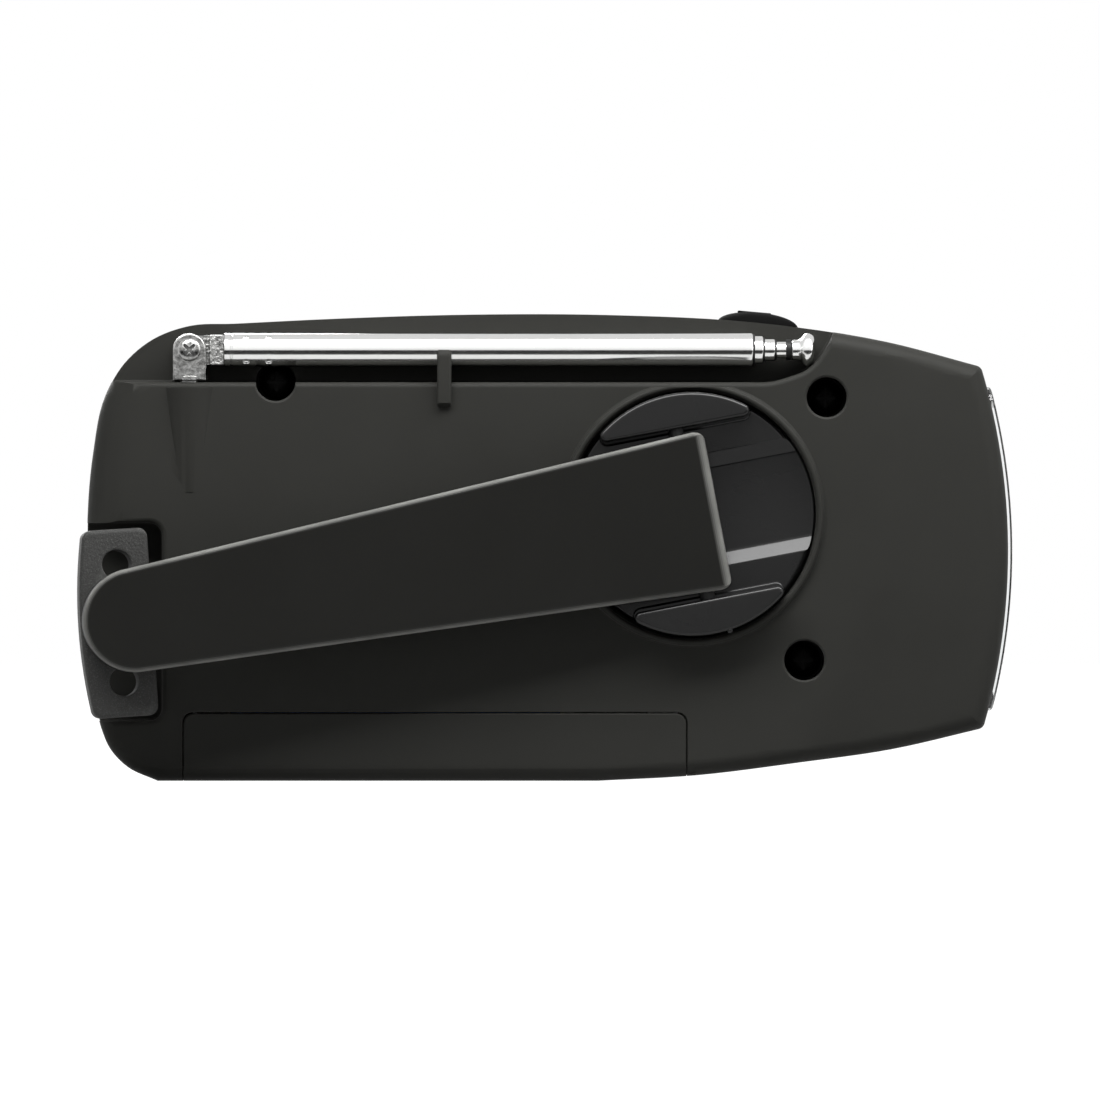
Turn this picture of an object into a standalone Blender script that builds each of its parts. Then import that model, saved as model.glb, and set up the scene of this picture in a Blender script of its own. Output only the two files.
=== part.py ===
"""A hand cranked radio with a torch end, as separate pieces at real size, in metres.

It stands on its long edge at z = 0 with its back towards -Y and its torch end towards +X. The crank arm is
held five degrees above its stowed place, so that the arm, the rotor and the grip can each turn alone.
"""

import math

import bmesh
import bpy
from mathutils import Matrix, Vector
from mathutils.geometry import interpolate_bezier

# Clearances and cutting
GAP = 0.0003
SLIDE_GAP = 0.0002
OVERRUN = 0.003
FINE_STEPS = 40
MEDIUM_STEPS = 20
SMALL_STEPS = 12
TINY_STEPS = 8

# Housing
HOUSING_LENGTH = 0.149
HOUSING_HEIGHT = 0.0747
HOUSING_DEPTH = 0.040
FRONT_SHELL_SHARE = 0.30
WALL = 0.002
EDGE_ROUND = 0.0026
EDGE_STEPS = 2
TOP_RUN_SHARES = (
    (0.466, 0.888),
    (0.364, 0.941),
    (0.222, 0.983),
    (0.067, 0.999),
    (-0.081, 1.0),
    (-0.242, 0.992),
    (-0.385, 0.976),
    (-0.4255, 0.9465),
    (-0.4557, 0.8956),
    (-0.4758, 0.8273),
    (-0.4893, 0.7028),
    (-0.4953, 0.5622),
    (-0.490, 0.335),
    (-0.4805, 0.115),
    (-0.471, 0.070),
    (-0.452, 0.030),
    (-0.4195, 0.0),
)
BOTTOM_RUN_SHARES = ((0.054, 0.0), (0.161, 0.012), (0.270, 0.039), (0.369, 0.067), (0.4685, 0.1125))
END_BULGE_SHARE = (0.4953, 0.489)
RUN_STEPS = 2
END_STEPS = 10

# Slopes of the torch head and of the tail: each crease in shares of the length, the height and the drop
HEAD_DROP = 0.0048
HEAD_CREASE_SHARES = (
    (0.364, 1.08, 1.0),
    (0.364, 0.80, 1.0),
    (0.361, 0.58, 1.0),
    (0.351, 0.43, 1.0),
    (0.334, 0.31, 1.0),
    (0.312, 0.20, 1.0),
    (0.285, 0.11, 1.0),
    (0.255, 0.03, 1.0),
    (0.235, -0.05, 1.0),
)
TAIL_DROP = 0.0030
TAIL_CREASE_SHARES = (
    (-0.437, 1.05, 1.0),
    (-0.443, 0.85, 1.0),
    (-0.458, 0.68, 1.0),
    (-0.4625, 0.57, 0.8),
    (-0.465, 0.46, 0.4),
    (-0.466, 0.34, -0.1),
)

# Rotor, its well and its collar
ROTOR_SHARE = (0.1544, 0.5716)
ROTOR_RADIUS = 0.0195
WELL_CLEARANCE = 0.0004
WELL_DEPTH = 0.0040
COLLAR_WIDTH = 0.0012
COLLAR_HEIGHT = 0.0010
ROTOR_UNDERSIDE = 0.0034
LEDGE_DEPTH = 0.0008
CHANNEL_DEPTH = 0.0022
CHANNEL_HALF = 0.0074
CHANNEL_SLOPE = 0.0016
PAD_CHORD = 0.0138
PAD_HEIGHT = 0.0057
PAD_ROUND = 0.0006
HUB_RADIUS = 0.0042
SHAFT_RADIUS = 0.0022
BUSH_WALL = 0.0010
BUSH_FLANGE = 0.0015
FLANGE_THICKNESS = 0.0008

# Crank arm, its hinge and its grip
HINGE_HEIGHT = 0.0039
REST_LIFT = math.radians(5.0)
PIN_RADIUS = 0.0012
PIN_GRIP = 0.0028
ARM_THICKNESS = 0.0050
ARM_HEEL_BACK = 0.0042
ARM_HEEL_HALF = 0.0129
ARM_TIP_RADIUS = 0.0083
ARM_TIP_INSET = 0.0021
ARM_ROUND = 0.0016
ARM_RIM = 0.0018
ARM_SKIN = 0.0016
ARM_HEEL_BLOCK = 0.0100
ARM_RIB = 0.0014
ARM_POCKETS = 6
GRIP_SHARE = (-0.4584, 0.3387)
GRIP_LENGTH = 0.0300
GRIP_INNER_HALF = 0.0052
GRIP_OUTER_HALF = 0.0053
GRIP_BULGE = 0.0011
GRIP_SINK = 0.0060
GRIP_LEAN = math.radians(3.7)
GRIP_CORNER = 0.0015
GRIP_EDGE = 0.0006
GRIP_HOLE_RADIUS = 0.0023
GRIP_HOLE_SPREAD = 0.00936
GRIP_PIN_RADIUS = 0.0020
GRIP_PIN_HEAD = 0.0032
GRIP_PIN_HEAD_HEIGHT = 0.0016
GRIP_PIN_HOLD = 0.0030

# Notch of the tail
NOTCH_GAP = 0.0004
NOTCH_FLOOR_GAP = 0.0008
NOTCH_CORNER = 0.0020

# Antenna
ANTENNA_PIVOT_SHARE = (-0.3852, 0.9237)
ANTENNA_TIP_SHARE = 0.2866
ANTENNA_DEPTH = 0.0032
TUBE_RADIUS = 0.00272
TUBE_WALL = 0.00022
SECTION_RADII = (0.00227, 0.00178, 0.00136)
SECTION_SHOWS = (0.0016, 0.0019, 0.0023)
SECTION_SHORTER = 0.0040
TIP_NECK_RADIUS = 0.00168
TIP_RADIUS = 0.0027
TIP_LENGTH = 0.0037
TIP_NECK_LENGTH = 0.0013
TONGUE_REACH = 0.0056
BLOCK_LENGTH = 0.0024
BLOCK_THICKNESS = 0.0040
TONGUE_THICKNESS = 0.0020
FORK_HALF = 0.00265
FORK_CHEEK = 0.0014
FORK_FLANGE_RADIUS = 0.0028
FORK_FLANGE_HEIGHT = 0.0009
FORK_PIN_RADIUS = 0.0015
FORK_PIN_LENGTH = 0.0070
PIVOT_SCREW_RADIUS = 0.00184
PIVOT_SCREW_HEAD = 0.0006
PIVOT_SHANK_RADIUS = 0.0010
CROSS_WIDTH = 0.0004
CROSS_LENGTH = 0.0022
CROSS_DEPTH = 0.0004

# Antenna rebate, fairing and hook
REBATE_WALL_SHARE = 0.8541
REBATE_DEPTH = 0.0062
REBATE_END_SHARES = (
    (0.238, 0.8541),
    (0.2597, 0.8661),
    (0.2779, 0.8809),
    (0.2919, 0.9090),
    (0.3047, 0.9505),
    (0.312, 1.02),
    (0.318, 1.08),
)
FAIRING_TOP_RADIUS = 0.0050
FAIRING_END_RADIUS = 0.0033
FAIRING_LENGTH_SHARE = 0.2356
HOOK_SHARE = -0.1114
HOOK_WIDTH = 0.0023
HOOK_ROOT_SHARE = 0.802
HOOK_TIP_SHARE = 0.9237
HOOK_PROUD = 0.0012

# Housing screws
SCREW_SHARES = ((0.2993, 0.8220), (0.2752, 0.2584), (-0.2926, 0.8568), (-0.4430, 0.3387))
NOTCH_SCREW = 3
SCREW_WELL_RADIUS = 0.0032
SCREW_SEAT_DEPTH = 0.0160
SCREW_HEAD_RADIUS = 0.0028
SCREW_HEAD_HEIGHT = 0.0019
SCREW_SHANK_RADIUS = 0.0014
SCREW_REACH = 0.0035
SCREW_WELL_WALL = 0.0015
FRONT_BOSS_RADIUS = 0.0034

# Battery bay and its door
DOOR_SHARES = (-0.3926, 0.1497)
DOOR_HEIGHT = 0.0110
DOOR_REACH = 0.0180
DOOR_CORNER = 0.0017
BAY_WALL = 0.0015
BAY_SEAT = 0.0012
BAY_FOOT = 0.0014
CELL_RADIUS = 0.0092
CELL_ROOM = 0.0156
CELL_BUTTON_RADIUS = 0.0030
CELL_BUTTON_HEIGHT = 0.0012
CELL_CLEARANCE = 0.0004
CONTACT_THICKNESS = 0.0006
CONTACT_HALF = 0.0060
SPRING_WIRE = 0.0004
SPRING_RADIUS = 0.0045
SPRING_TURNS = 4

# Gears: module, tooth counts and planes below the back
GEAR_MODULE = 0.0009
DRIVE_TEETH = 32
PINION_TEETH = 12
WHEEL_TEETH = 30
PRESSURE_ANGLE = math.radians(20.0)
ADDENDUM_SHARE = 0.80
DEDENDUM_SHARE = 1.20
TOOTH_SHARE = 0.42
GEAR_THICKNESS = 0.0024
WHEEL_THICKNESS = 0.0022
GEAR_PLANE_GAP = 0.0008
AXLE_RADIUS = 0.0010
INTERMEDIATE_ANGLE = math.radians(165.0)
DYNAMO_ANGLE = math.radians(200.0)
BRACKET_THICKNESS = 0.0014
BRACKET_GAP = 0.0012
BRACKET_EAR_RADIUS = 0.0040
BRACKET_LEG_RADIUS = 0.0022
BRACKET_LEG_SHARES = ((-0.165, 0.755), (-0.165, 0.365), (0.3188, 0.55))
BRACKET_ARC_STEPS = 8
DYNAMO_RADIUS = 0.0125
DYNAMO_CLEARANCE = 0.0036
DYNAMO_ROUND = 0.0012

# Electronics
BOARD_SHARES = ((-0.087, 0.135), (0.235, 0.88))
BOARD_THICKNESS = 0.0014
BOARD_DEPTH_SHARE = 0.275
BOARD_POST_RADIUS = 0.0022
BOARD_POST_SHARES = ((-0.05, 0.20), (-0.05, 0.80))
SPEAKER_SHARE = (-0.2416, 0.5355)
SPEAKER_RADIUS = 0.0200
SPEAKER_RIM = 0.0015
SPEAKER_BASKET_RADIUS = 0.0105
SPEAKER_BASKET_DEPTH = 0.0055
SPEAKER_SHELL = 0.0010
MAGNET_RADIUS = 0.0100
MAGNET_LENGTH = 0.0042
CONE_RADIUS = 0.0170
CONE_THICKNESS = 0.0006
CONE_CAP_RADIUS = 0.0060
CONE_DEPTH = 0.0035
SPEAKER_RING_WALL = 0.0014
SPEAKER_RING_HEIGHT = 0.0030
GRILLE_SLOTS = 9
GRILLE_SLOT_HEIGHT = 0.0020
GRILLE_PITCH = 0.0038
GRILLE_RADIUS = 0.0182
ROD_RADIUS = 0.0040
ROD_SHARES = (-0.250, 0.120)
ROD_HEIGHT_SHARE = 0.865
COIL_WALL = 0.0012
COIL_SHARES = (-0.075, 0.045)

# Controls on the front
TUNING_SHARE = (0.161, 0.402)
TUNING_RADIUS = 0.0120
TUNING_HEIGHT = 0.0062
TUNING_FLUTES = 20
FLUTE_DEPTH = 0.0005
STEM_RADIUS = 0.0030
CAPACITOR_SIDE = 0.0180
CAPACITOR_CLEARANCE = 0.0014
DIAL_OUTER_RADIUS = 0.0180
DIAL_THICKNESS = 0.0006
DIAL_RECESS = 0.0008
VOLUME_SHARE = (0.034, 0.776)
VOLUME_RADIUS = 0.0066
VOLUME_HEIGHT = 0.0052
VOLUME_FLUTES = 14
POT_RADIUS = 0.0080
POT_HEIGHT = 0.0050
SWITCH_SHARE = (0.200, 0.796)
SWITCH_TRAVEL = 0.0050
SWITCH_CAP = (0.0060, 0.0042)
SWITCH_PROUD = 0.0016
SWITCH_BODY_WIDTH = 0.0074
SWITCH_CLEARANCE = 0.0009
SWITCH_BODY_HEIGHT = 0.0045
SWITCH_STEM = (0.0024, 0.0020)
SWITCH_STEM_REACH = 0.0020
CHARGE_SHARE = (0.110, 0.868)
CHARGE_RADIUS = 0.0016
CHARGE_PROUD = 0.0005
KNOB_EDGE = 0.0007

# Torch end
LENS_PROUD = 0.0007
LENS_THICKNESS = 0.0020
LENS_HALF_DEPTH = 0.0122
LENS_SHARES = (0.150, 0.845)
LENS_CORNER = 0.0030
LENS_SEAT = 0.0014
OPENING_HALF_DEPTH = 0.0104
REFLECTOR_FACE_SHARE = 0.4630
REFLECTOR_DEPTH = 0.0110
REFLECTOR_EDGE = 0.0010
CUP_SHARES = (0.302, 0.4976, 0.693)
CUP_RADIUS = 0.0062
CUP_THROAT = 0.0030
LAMP_RADIUS = 0.0024
LAMP_LENGTH = 0.0060
LAMP_BOARD_THICKNESS = 0.0014

# Torch button and its switch
BUTTON_SHARE = (0.2262, 0.978)
BUTTON_LENGTH = 0.0130
BUTTON_WIDTH = 0.0086
BUTTON_Y = -0.0055
BUTTON_PROUD = 0.0021
BUTTON_CROWN = 0.0010
BUTTON_TRAVEL = 0.0010
BUTTON_FLANGE = 0.0010
BUTTON_FLANGE_THICKNESS = 0.0008
BUTTON_TILT = math.radians(5.0)
TACT_SIDE = 0.0060
TACT_HEIGHT = 0.0032
TACT_STEM_RADIUS = 0.0016
TACT_STEM_HEIGHT = 0.0008
SHELF_THICKNESS = 0.0016

# Socket block and its cover
SOCKET_SHARES = (0.1812, 0.2953)
SOCKET_HALF_DEPTH = 0.0060
SOCKET_COVER_SKIN = 0.0018
SOCKET_COVER_TOP_SHARE = 0.075
SOCKET_BLOCK_HEIGHT = 0.0065
SOCKET_BLOCK_INSET = 0.0008
JACK_RADIUS = 0.0018
PORT_SIZE = (0.0066, 0.0026)
PORT_DEPTH = 0.0050

# Places that follow from the sizes above
BACK_Y = -HOUSING_DEPTH / 2
FRONT_Y = HOUSING_DEPTH / 2
FRONT_SHELL_DEPTH = HOUSING_DEPTH * FRONT_SHELL_SHARE
PARTING_DEPTH = HOUSING_DEPTH - FRONT_SHELL_DEPTH
PARTING_Y = BACK_Y + PARTING_DEPTH
RIGHT_ANGLE = math.pi / 2


def spot(shares):
    """A place on the back, in metres, from its shares of the length and the height."""
    return shares[0] * HOUSING_LENGTH, shares[1] * HOUSING_HEIGHT


ROTOR = spot(ROTOR_SHARE)
GRIP_PIVOT = spot(GRIP_SHARE)
ANTENNA_PIVOT = spot(ANTENNA_PIVOT_SHARE)
ANTENNA_TIP_X = ANTENNA_TIP_SHARE * HOUSING_LENGTH
DOOR_LEFT, DOOR_RIGHT = (share * HOUSING_LENGTH for share in DOOR_SHARES)
CELL_LENGTH = DOOR_RIGHT - DOOR_LEFT - CELL_ROOM
BOARD_DEPTH = HOUSING_DEPTH * BOARD_DEPTH_SHARE
BOARD_Y = FRONT_Y - BOARD_DEPTH
CAPACITOR_HEIGHT = BOARD_DEPTH - BOARD_THICKNESS - WALL - CAPACITOR_CLEARANCE
SPEAKER = spot(SPEAKER_SHARE)
ARM_REACH = math.dist(ROTOR, GRIP_PIVOT)
ARM_ANGLE = math.atan2(GRIP_PIVOT[1] - ROTOR[1], GRIP_PIVOT[0] - ROTOR[0])
WELL_RADIUS = ROTOR_RADIUS + WELL_CLEARANCE
BUSH_RADIUS = HUB_RADIUS + GAP + BUSH_WALL
WELL_INSIDE = WELL_DEPTH + WALL
DRIVE_NEAR = WELL_INSIDE + GAP + FLANGE_THICKNESS + GAP
DRIVE_FAR = DRIVE_NEAR + GEAR_THICKNESS
WHEEL_NEAR = DRIVE_FAR + GEAR_PLANE_GAP
WHEEL_FAR = WHEEL_NEAR + WHEEL_THICKNESS
BRACKET_NEAR = WHEEL_FAR + BRACKET_GAP
BRACKET_FAR = BRACKET_NEAR + BRACKET_THICKNESS
DYNAMO_LENGTH = HOUSING_DEPTH - BOARD_DEPTH - BRACKET_FAR - DYNAMO_CLEARANCE
FIRST_CENTRES = GEAR_MODULE * (DRIVE_TEETH + PINION_TEETH) / 2
SECOND_CENTRES = GEAR_MODULE * (WHEEL_TEETH + PINION_TEETH) / 2
INTERMEDIATE = (
    ROTOR[0] + FIRST_CENTRES * math.cos(INTERMEDIATE_ANGLE),
    ROTOR[1] + FIRST_CENTRES * math.sin(INTERMEDIATE_ANGLE),
)
DYNAMO = (
    INTERMEDIATE[0] + SECOND_CENTRES * math.cos(DYNAMO_ANGLE),
    INTERMEDIATE[1] + SECOND_CENTRES * math.sin(DYNAMO_ANGLE),
)
BAY_TOP = WALL + CELL_CLEARANCE + CELL_RADIUS + CELL_RADIUS + CELL_CLEARANCE
BAY_DEPTH = WALL + CELL_CLEARANCE + CELL_RADIUS + CELL_RADIUS + CELL_CLEARANCE
CELL_Z = WALL + CELL_CLEARANCE + CELL_RADIUS
CELL_HEIGHT = -(WALL + CELL_CLEARANCE + CELL_RADIUS)
FAR_LENGTH = HOUSING_LENGTH
FAR_HEIGHT = HOUSING_HEIGHT * 2

# Frames: local z points out of the back, out of the front, or along the antenna
BACK_FRAME = Matrix.Translation((0, BACK_Y, 0)) @ Matrix.Rotation(RIGHT_ANGLE, 4, "X")
HALF_TURN = Matrix.Rotation(math.pi, 4, "Z")
FRONT_FRAME = Matrix.Translation((0, FRONT_Y, 0)) @ HALF_TURN @ Matrix.Rotation(RIGHT_ANGLE, 4, "X")
# Local x of this frame is world z, local y is world y and local z points back along the length
END_FRAME = Matrix.Rotation(-RIGHT_ANGLE, 4, "Y")
# Local x of this frame is world y, local y is world z and local z is world x
LENGTH_FRAME = Matrix.Rotation(RIGHT_ANGLE, 4, "X") @ Matrix.Rotation(RIGHT_ANGLE, 4, "Y")

FINISHES = {
    "soft_black": ((0.022, 0.022, 0.020), 0.60, 0.0),
    "lever_black": ((0.014, 0.014, 0.012), 0.45, 0.0),
    "gloss_black": ((0.010, 0.010, 0.010), 0.22, 0.0),
    "rough_black": ((0.018, 0.018, 0.018), 0.75, 0.0),
    "rubber": ((0.020, 0.020, 0.020), 0.85, 0.0),
    "chrome": ((0.80, 0.80, 0.80), 0.15, 1.0),
    "steel": ((0.55, 0.55, 0.56), 0.35, 1.0),
    "copper": ((0.60, 0.25, 0.12), 0.35, 1.0),
    "white_nylon": ((0.75, 0.74, 0.70), 0.45, 0.0),
    "board_green": ((0.03, 0.16, 0.07), 0.45, 0.0),
    "ferrite": ((0.05, 0.05, 0.055), 0.55, 0.0),
    "paper_black": ((0.03, 0.03, 0.03), 0.90, 0.0),
    "cell_blue": ((0.03, 0.10, 0.35), 0.40, 0.0),
    "clear": ((0.85, 0.87, 0.88), 0.08, 0.0),
    "silver": ((0.85, 0.85, 0.86), 0.12, 1.0),
    "amber": ((0.75, 0.12, 0.02), 0.25, 0.0),
    "pale_grey": ((0.60, 0.60, 0.58), 0.50, 0.0),
}


def clear_scene():
    for obj in list(bpy.data.objects):
        bpy.data.objects.remove(obj, do_unlink=True)


def new_collection(name):
    collection = bpy.data.collections.new(name)
    bpy.context.scene.collection.children.link(collection)
    return collection


def finish_of(name):
    """A Principled material of this name, made the first time it is asked for."""
    material = bpy.data.materials.get(name)
    if material is None:
        colour, roughness, metallic = FINISHES[name]
        material = bpy.data.materials.new(name)
        material.use_nodes = True
        shader = material.node_tree.nodes["Principled BSDF"]
        shader.inputs["Base Color"].default_value = (*colour, 1)
        shader.inputs["Roughness"].default_value = roughness
        shader.inputs["Metallic"].default_value = metallic
    return material


clear_scene()
PARTS = new_collection("portable_radio")
CUTTERS = new_collection("cutters")


def add(name, mesh, finish=None, frame=None):
    """An object for this mesh: a part where it has a finish, and otherwise a hidden cutter."""
    obj = bpy.data.objects.new(name, mesh)
    if finish:
        PARTS.objects.link(obj)
        mesh.materials.append(finish_of(finish))
    else:
        CUTTERS.objects.link(obj)
        obj.hide_render = True
        obj.display_type = "WIRE"
    obj.matrix_world = frame if frame is not None else Matrix.Identity(4)
    return obj


def mesh_of(build):
    """A mesh from a bmesh, with its doubles merged and its faces turned outwards."""
    bmesh.ops.remove_doubles(build, verts=build.verts, dist=GAP / FINE_STEPS)
    bmesh.ops.recalc_face_normals(build, faces=build.faces)
    mesh = bpy.data.meshes.new("shape")
    build.to_mesh(mesh)
    build.free()
    return mesh


def evaluated_mesh(obj):
    """The object's mesh as its modifiers leave it."""
    bpy.context.view_layer.update()
    graph = bpy.context.evaluated_depsgraph_get()
    return bpy.data.meshes.new_from_object(obj.evaluated_get(graph))


def slab(name, outline, low, high, finish=None, frame=None):
    """A flat outline carried from low to high along local z."""
    sections = [[(x, y, height) for x, y in outline] for height in (low, high)]
    return loft(name, sections, finish, frame)


def box(name, low, high, finish=None, frame=None):
    """A box between two corners."""
    build = bmesh.new()
    bmesh.ops.create_cube(build, size=1)
    sides = [b - a for a, b in zip(low, high)]
    middle = [(a + b) / 2 for a, b in zip(low, high)]
    bmesh.ops.scale(build, vec=sides, verts=build.verts)
    bmesh.ops.translate(build, vec=middle, verts=build.verts)
    return add(name, mesh_of(build), finish, frame)


def rod(name, radius, low, high, steps, finish=None, frame=None, end_radius=None):
    """A cylinder or a cone from low to high along local z."""
    build = bmesh.new()
    bmesh.ops.create_cone(
        build,
        cap_ends=True,
        segments=steps,
        radius1=radius,
        radius2=radius if end_radius is None else end_radius,
        depth=high - low,
    )
    bmesh.ops.translate(build, vec=(0, 0, (high + low) / 2), verts=build.verts)
    return add(name, mesh_of(build), finish, frame)


def turned(name, profile, steps, finish=None, frame=None, ring=False):
    """A profile of (radius, height) points, running down its outer side, turned about local z."""
    count = len(profile)
    edges = [(i, i + 1) for i in range(count - 1)]
    if ring:
        edges.append((count - 1, 0))
    mesh = bpy.data.meshes.new(name)
    mesh.from_pydata([(r, 0, h) for r, h in profile], edges, [])
    obj = add(name, mesh, finish, frame)
    turn = obj.modifiers.new("Turn", "SCREW")
    turn.axis = "Z"
    turn.steps = steps
    turn.render_steps = steps
    turn.use_merge_vertices = True
    turn.merge_threshold = GAP / FINE_STEPS
    return obj


def loft(name, sections, finish=None, frame=None):
    """A closed solid through rings of as many points each, capped at both ends."""
    build = bmesh.new()
    rings = [[build.verts.new(point) for point in section] for section in sections]
    for ring, following in zip(rings, rings[1:]):
        for i, vert in enumerate(ring):
            build.faces.new((ring[i - 1], vert, following[i], following[i - 1]))
    build.faces.new(rings[0])
    build.faces.new(rings[-1])
    return add(name, mesh_of(build), finish, frame)


def change(target, tool, operation):
    step = target.modifiers.new(f"{operation.title()} {tool.name}", "BOOLEAN")
    step.operation = operation
    step.solver = "EXACT"
    step.object = tool


def cut(target, *tools):
    for tool in tools:
        change(target, tool, "DIFFERENCE")


def join(target, *tools):
    for tool in tools:
        change(target, tool, "UNION")


def keep(target, tool):
    change(target, tool, "INTERSECT")


def soften(obj, width, steps=2, angle=math.radians(40)):
    """Rounds each edge that turns by more than this angle."""
    bevel = obj.modifiers.new("Soften", "BEVEL")
    bevel.width = width
    bevel.segments = steps
    bevel.limit_method = "ANGLE"
    bevel.angle_limit = angle
    bevel.use_clamp_overlap = True


def moved(frame, x=0, y=0, z=0, turn=0):
    """A frame shifted, then turned about its own z."""
    return frame @ Matrix.Translation((x, y, z)) @ Matrix.Rotation(turn, 4, "Z")


def back_spot(place, turn=0):
    """A frame on the back at this place, z pointing out."""
    return moved(BACK_FRAME, place[0], place[1], 0, turn)


def front_spot(place):
    """A frame on the front at this place, z pointing out and x to the viewer's right."""
    return moved(FRONT_FRAME, -place[0], place[1])


def smooth_run(points, steps):
    """A smooth line through these points, without their last one."""
    spans = [math.dist(a, b) for a, b in zip(points, points[1:])]
    slopes = [(Vector(b) - Vector(a)) / span for a, b, span in zip(points, points[1:], spans)]
    tangents = [slopes[0]]
    for i in range(1, len(spans)):
        before, after = spans[i - 1], spans[i]
        tangents.append((slopes[i - 1] * after + slopes[i] * before) / (before + after))
    tangents.append(slopes[-1])
    run = []
    for i, span in enumerate(spans):
        start, end = Vector(points[i]), Vector(points[i + 1])
        handles = (start + tangents[i] * span / 3, end - tangents[i + 1] * span / 3)
        run += interpolate_bezier(start, *handles, end, steps + 1)[:-1]
    return [(point[0], point[1]) for point in run]


def arc_through(start, middle, end, steps):
    """An arc through three points, without its last one."""
    (ax, ay), (bx, by), (cx, cy) = start, middle, end
    twice_area = 2 * (ax * (by - cy) + bx * (cy - ay) + cx * (ay - by))
    squares = [x * x + y * y for x, y in (start, middle, end)]
    x0 = (squares[0] * (by - cy) + squares[1] * (cy - ay) + squares[2] * (ay - by)) / twice_area
    y0 = (squares[0] * (cx - bx) + squares[1] * (ax - cx) + squares[2] * (bx - ax)) / twice_area
    radius = math.dist(start, (x0, y0))
    first = math.atan2(ay - y0, ax - x0)
    last = first
    for x, y in (middle, end):
        turn = math.atan2(y - y0, x - x0) - last
        last += math.atan2(math.sin(turn), math.cos(turn))
    angles = [first + (last - first) * i / steps for i in range(steps)]
    return [(x0 + radius * math.cos(a), y0 + radius * math.sin(a)) for a in angles]


def arc_points(centre, radius, first, last, steps):
    """Points on an arc about a centre, with both its ends."""
    angles = [first + (last - first) * i / steps for i in range(steps + 1)]
    return [(centre[0] + radius * math.cos(a), centre[1] + radius * math.sin(a)) for a in angles]


def rounded_box(low, high, radius, steps=4):
    """The outline of a rectangle with round corners."""
    left, bottom = low[0] + radius, low[1] + radius
    right, top = high[0] - radius, high[1] - radius
    corners = ((right, top, 0), (left, top, 1), (left, bottom, 2), (right, bottom, 3))
    outline = []
    for x, y, quarter in corners:
        start = quarter * RIGHT_ANGLE
        outline += arc_points((x, y), radius, start, start + RIGHT_ANGLE, steps)
    return outline


def capsule(length, width, steps=6):
    """A long round outline about the origin, along x."""
    reach, radius = (length - width) / 2, width / 2
    right = arc_points((reach, 0), radius, -RIGHT_ANGLE, RIGHT_ANGLE, steps)
    left = arc_points((-reach, 0), radius, RIGHT_ANGLE, 3 * RIGHT_ANGLE, steps)
    return right + left


def fluted(radius, depth, flutes, steps=2):
    """A round outline with shallow flutes."""
    count = flutes * steps
    outline = []
    for i in range(count):
        angle = 2 * math.pi * i / count
        reach = radius - depth * (1 + math.cos(flutes * angle)) / 2
        outline.append((reach * math.cos(angle), reach * math.sin(angle)))
    return outline


def hull(circles, steps):
    """The outline of a belt stretched round these (place, radius) circles."""
    rims = [arc_points(place, radius, 0, 2 * math.pi, steps)[1:] for place, radius in circles]
    points = sorted(point for rim in rims for point in rim)

    def half(row):
        chain = []
        for p in row:
            while len(chain) > 1 and turn_of(chain[-2], chain[-1], p) <= 0:
                chain.pop()
            chain.append(p)
        return chain[:-1]

    return half(points) + half(points[::-1])


def turn_of(a, b, c):
    return (b[0] - a[0]) * (c[1] - a[1]) - (b[1] - a[1]) * (c[0] - a[0])


def inset(outline, distance):
    """A closed outline, running anticlockwise, moved inwards by this distance."""
    moved_points = []
    count = len(outline)
    for i, point in enumerate(outline):
        here = Vector(point)
        before = (here - Vector(outline[i - 1])).normalized()
        after = (Vector(outline[(i + 1) % count]) - here).normalized()
        inward = Vector((-before.y - after.y, before.x + after.x)).normalized()
        stretch = inward.dot(Vector((-before.y, before.x)))
        shifted = here + inward * distance / stretch
        moved_points.append((shifted.x, shifted.y))
    return moved_points


def gear_outline(teeth, first_tooth):
    """An involute gear's outline, one tooth centred on the angle first_tooth."""
    pitch = GEAR_MODULE * teeth / 2
    base = pitch * math.cos(PRESSURE_ANGLE)
    root = pitch - GEAR_MODULE * DEDENDUM_SHARE
    tip = pitch + GEAR_MODULE * ADDENDUM_SHARE
    half_tooth = math.pi / teeth * TOOTH_SHARE

    def involute(radius):
        slope = math.acos(min(1, base / radius))
        return math.tan(slope) - slope

    flank = []
    for radius in (root, pitch, tip):
        half = half_tooth + involute(pitch) - involute(max(radius, base))
        flank.append((radius, half))
    outline = []
    for tooth in range(teeth):
        centre = first_tooth + 2 * math.pi * tooth / teeth
        sides = [(r, -half) for r, half in flank] + [(r, half) for r, half in reversed(flank)]
        outline += [(r * math.cos(centre + a), r * math.sin(centre + a)) for r, a in sides]
    return outline


# Housing blank: the rounded outer body that the shells, the door and the socket cover are cut from
def housing_outline():
    top = [spot(share) for share in TOP_RUN_SHARES]
    bottom = [spot(share) for share in BOTTOM_RUN_SHARES]
    outline = smooth_run(top, RUN_STEPS) + [top[-1]]
    outline += smooth_run(bottom, RUN_STEPS)
    return outline + arc_through(bottom[-1], spot(END_BULGE_SHARE), top[0], END_STEPS)


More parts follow.
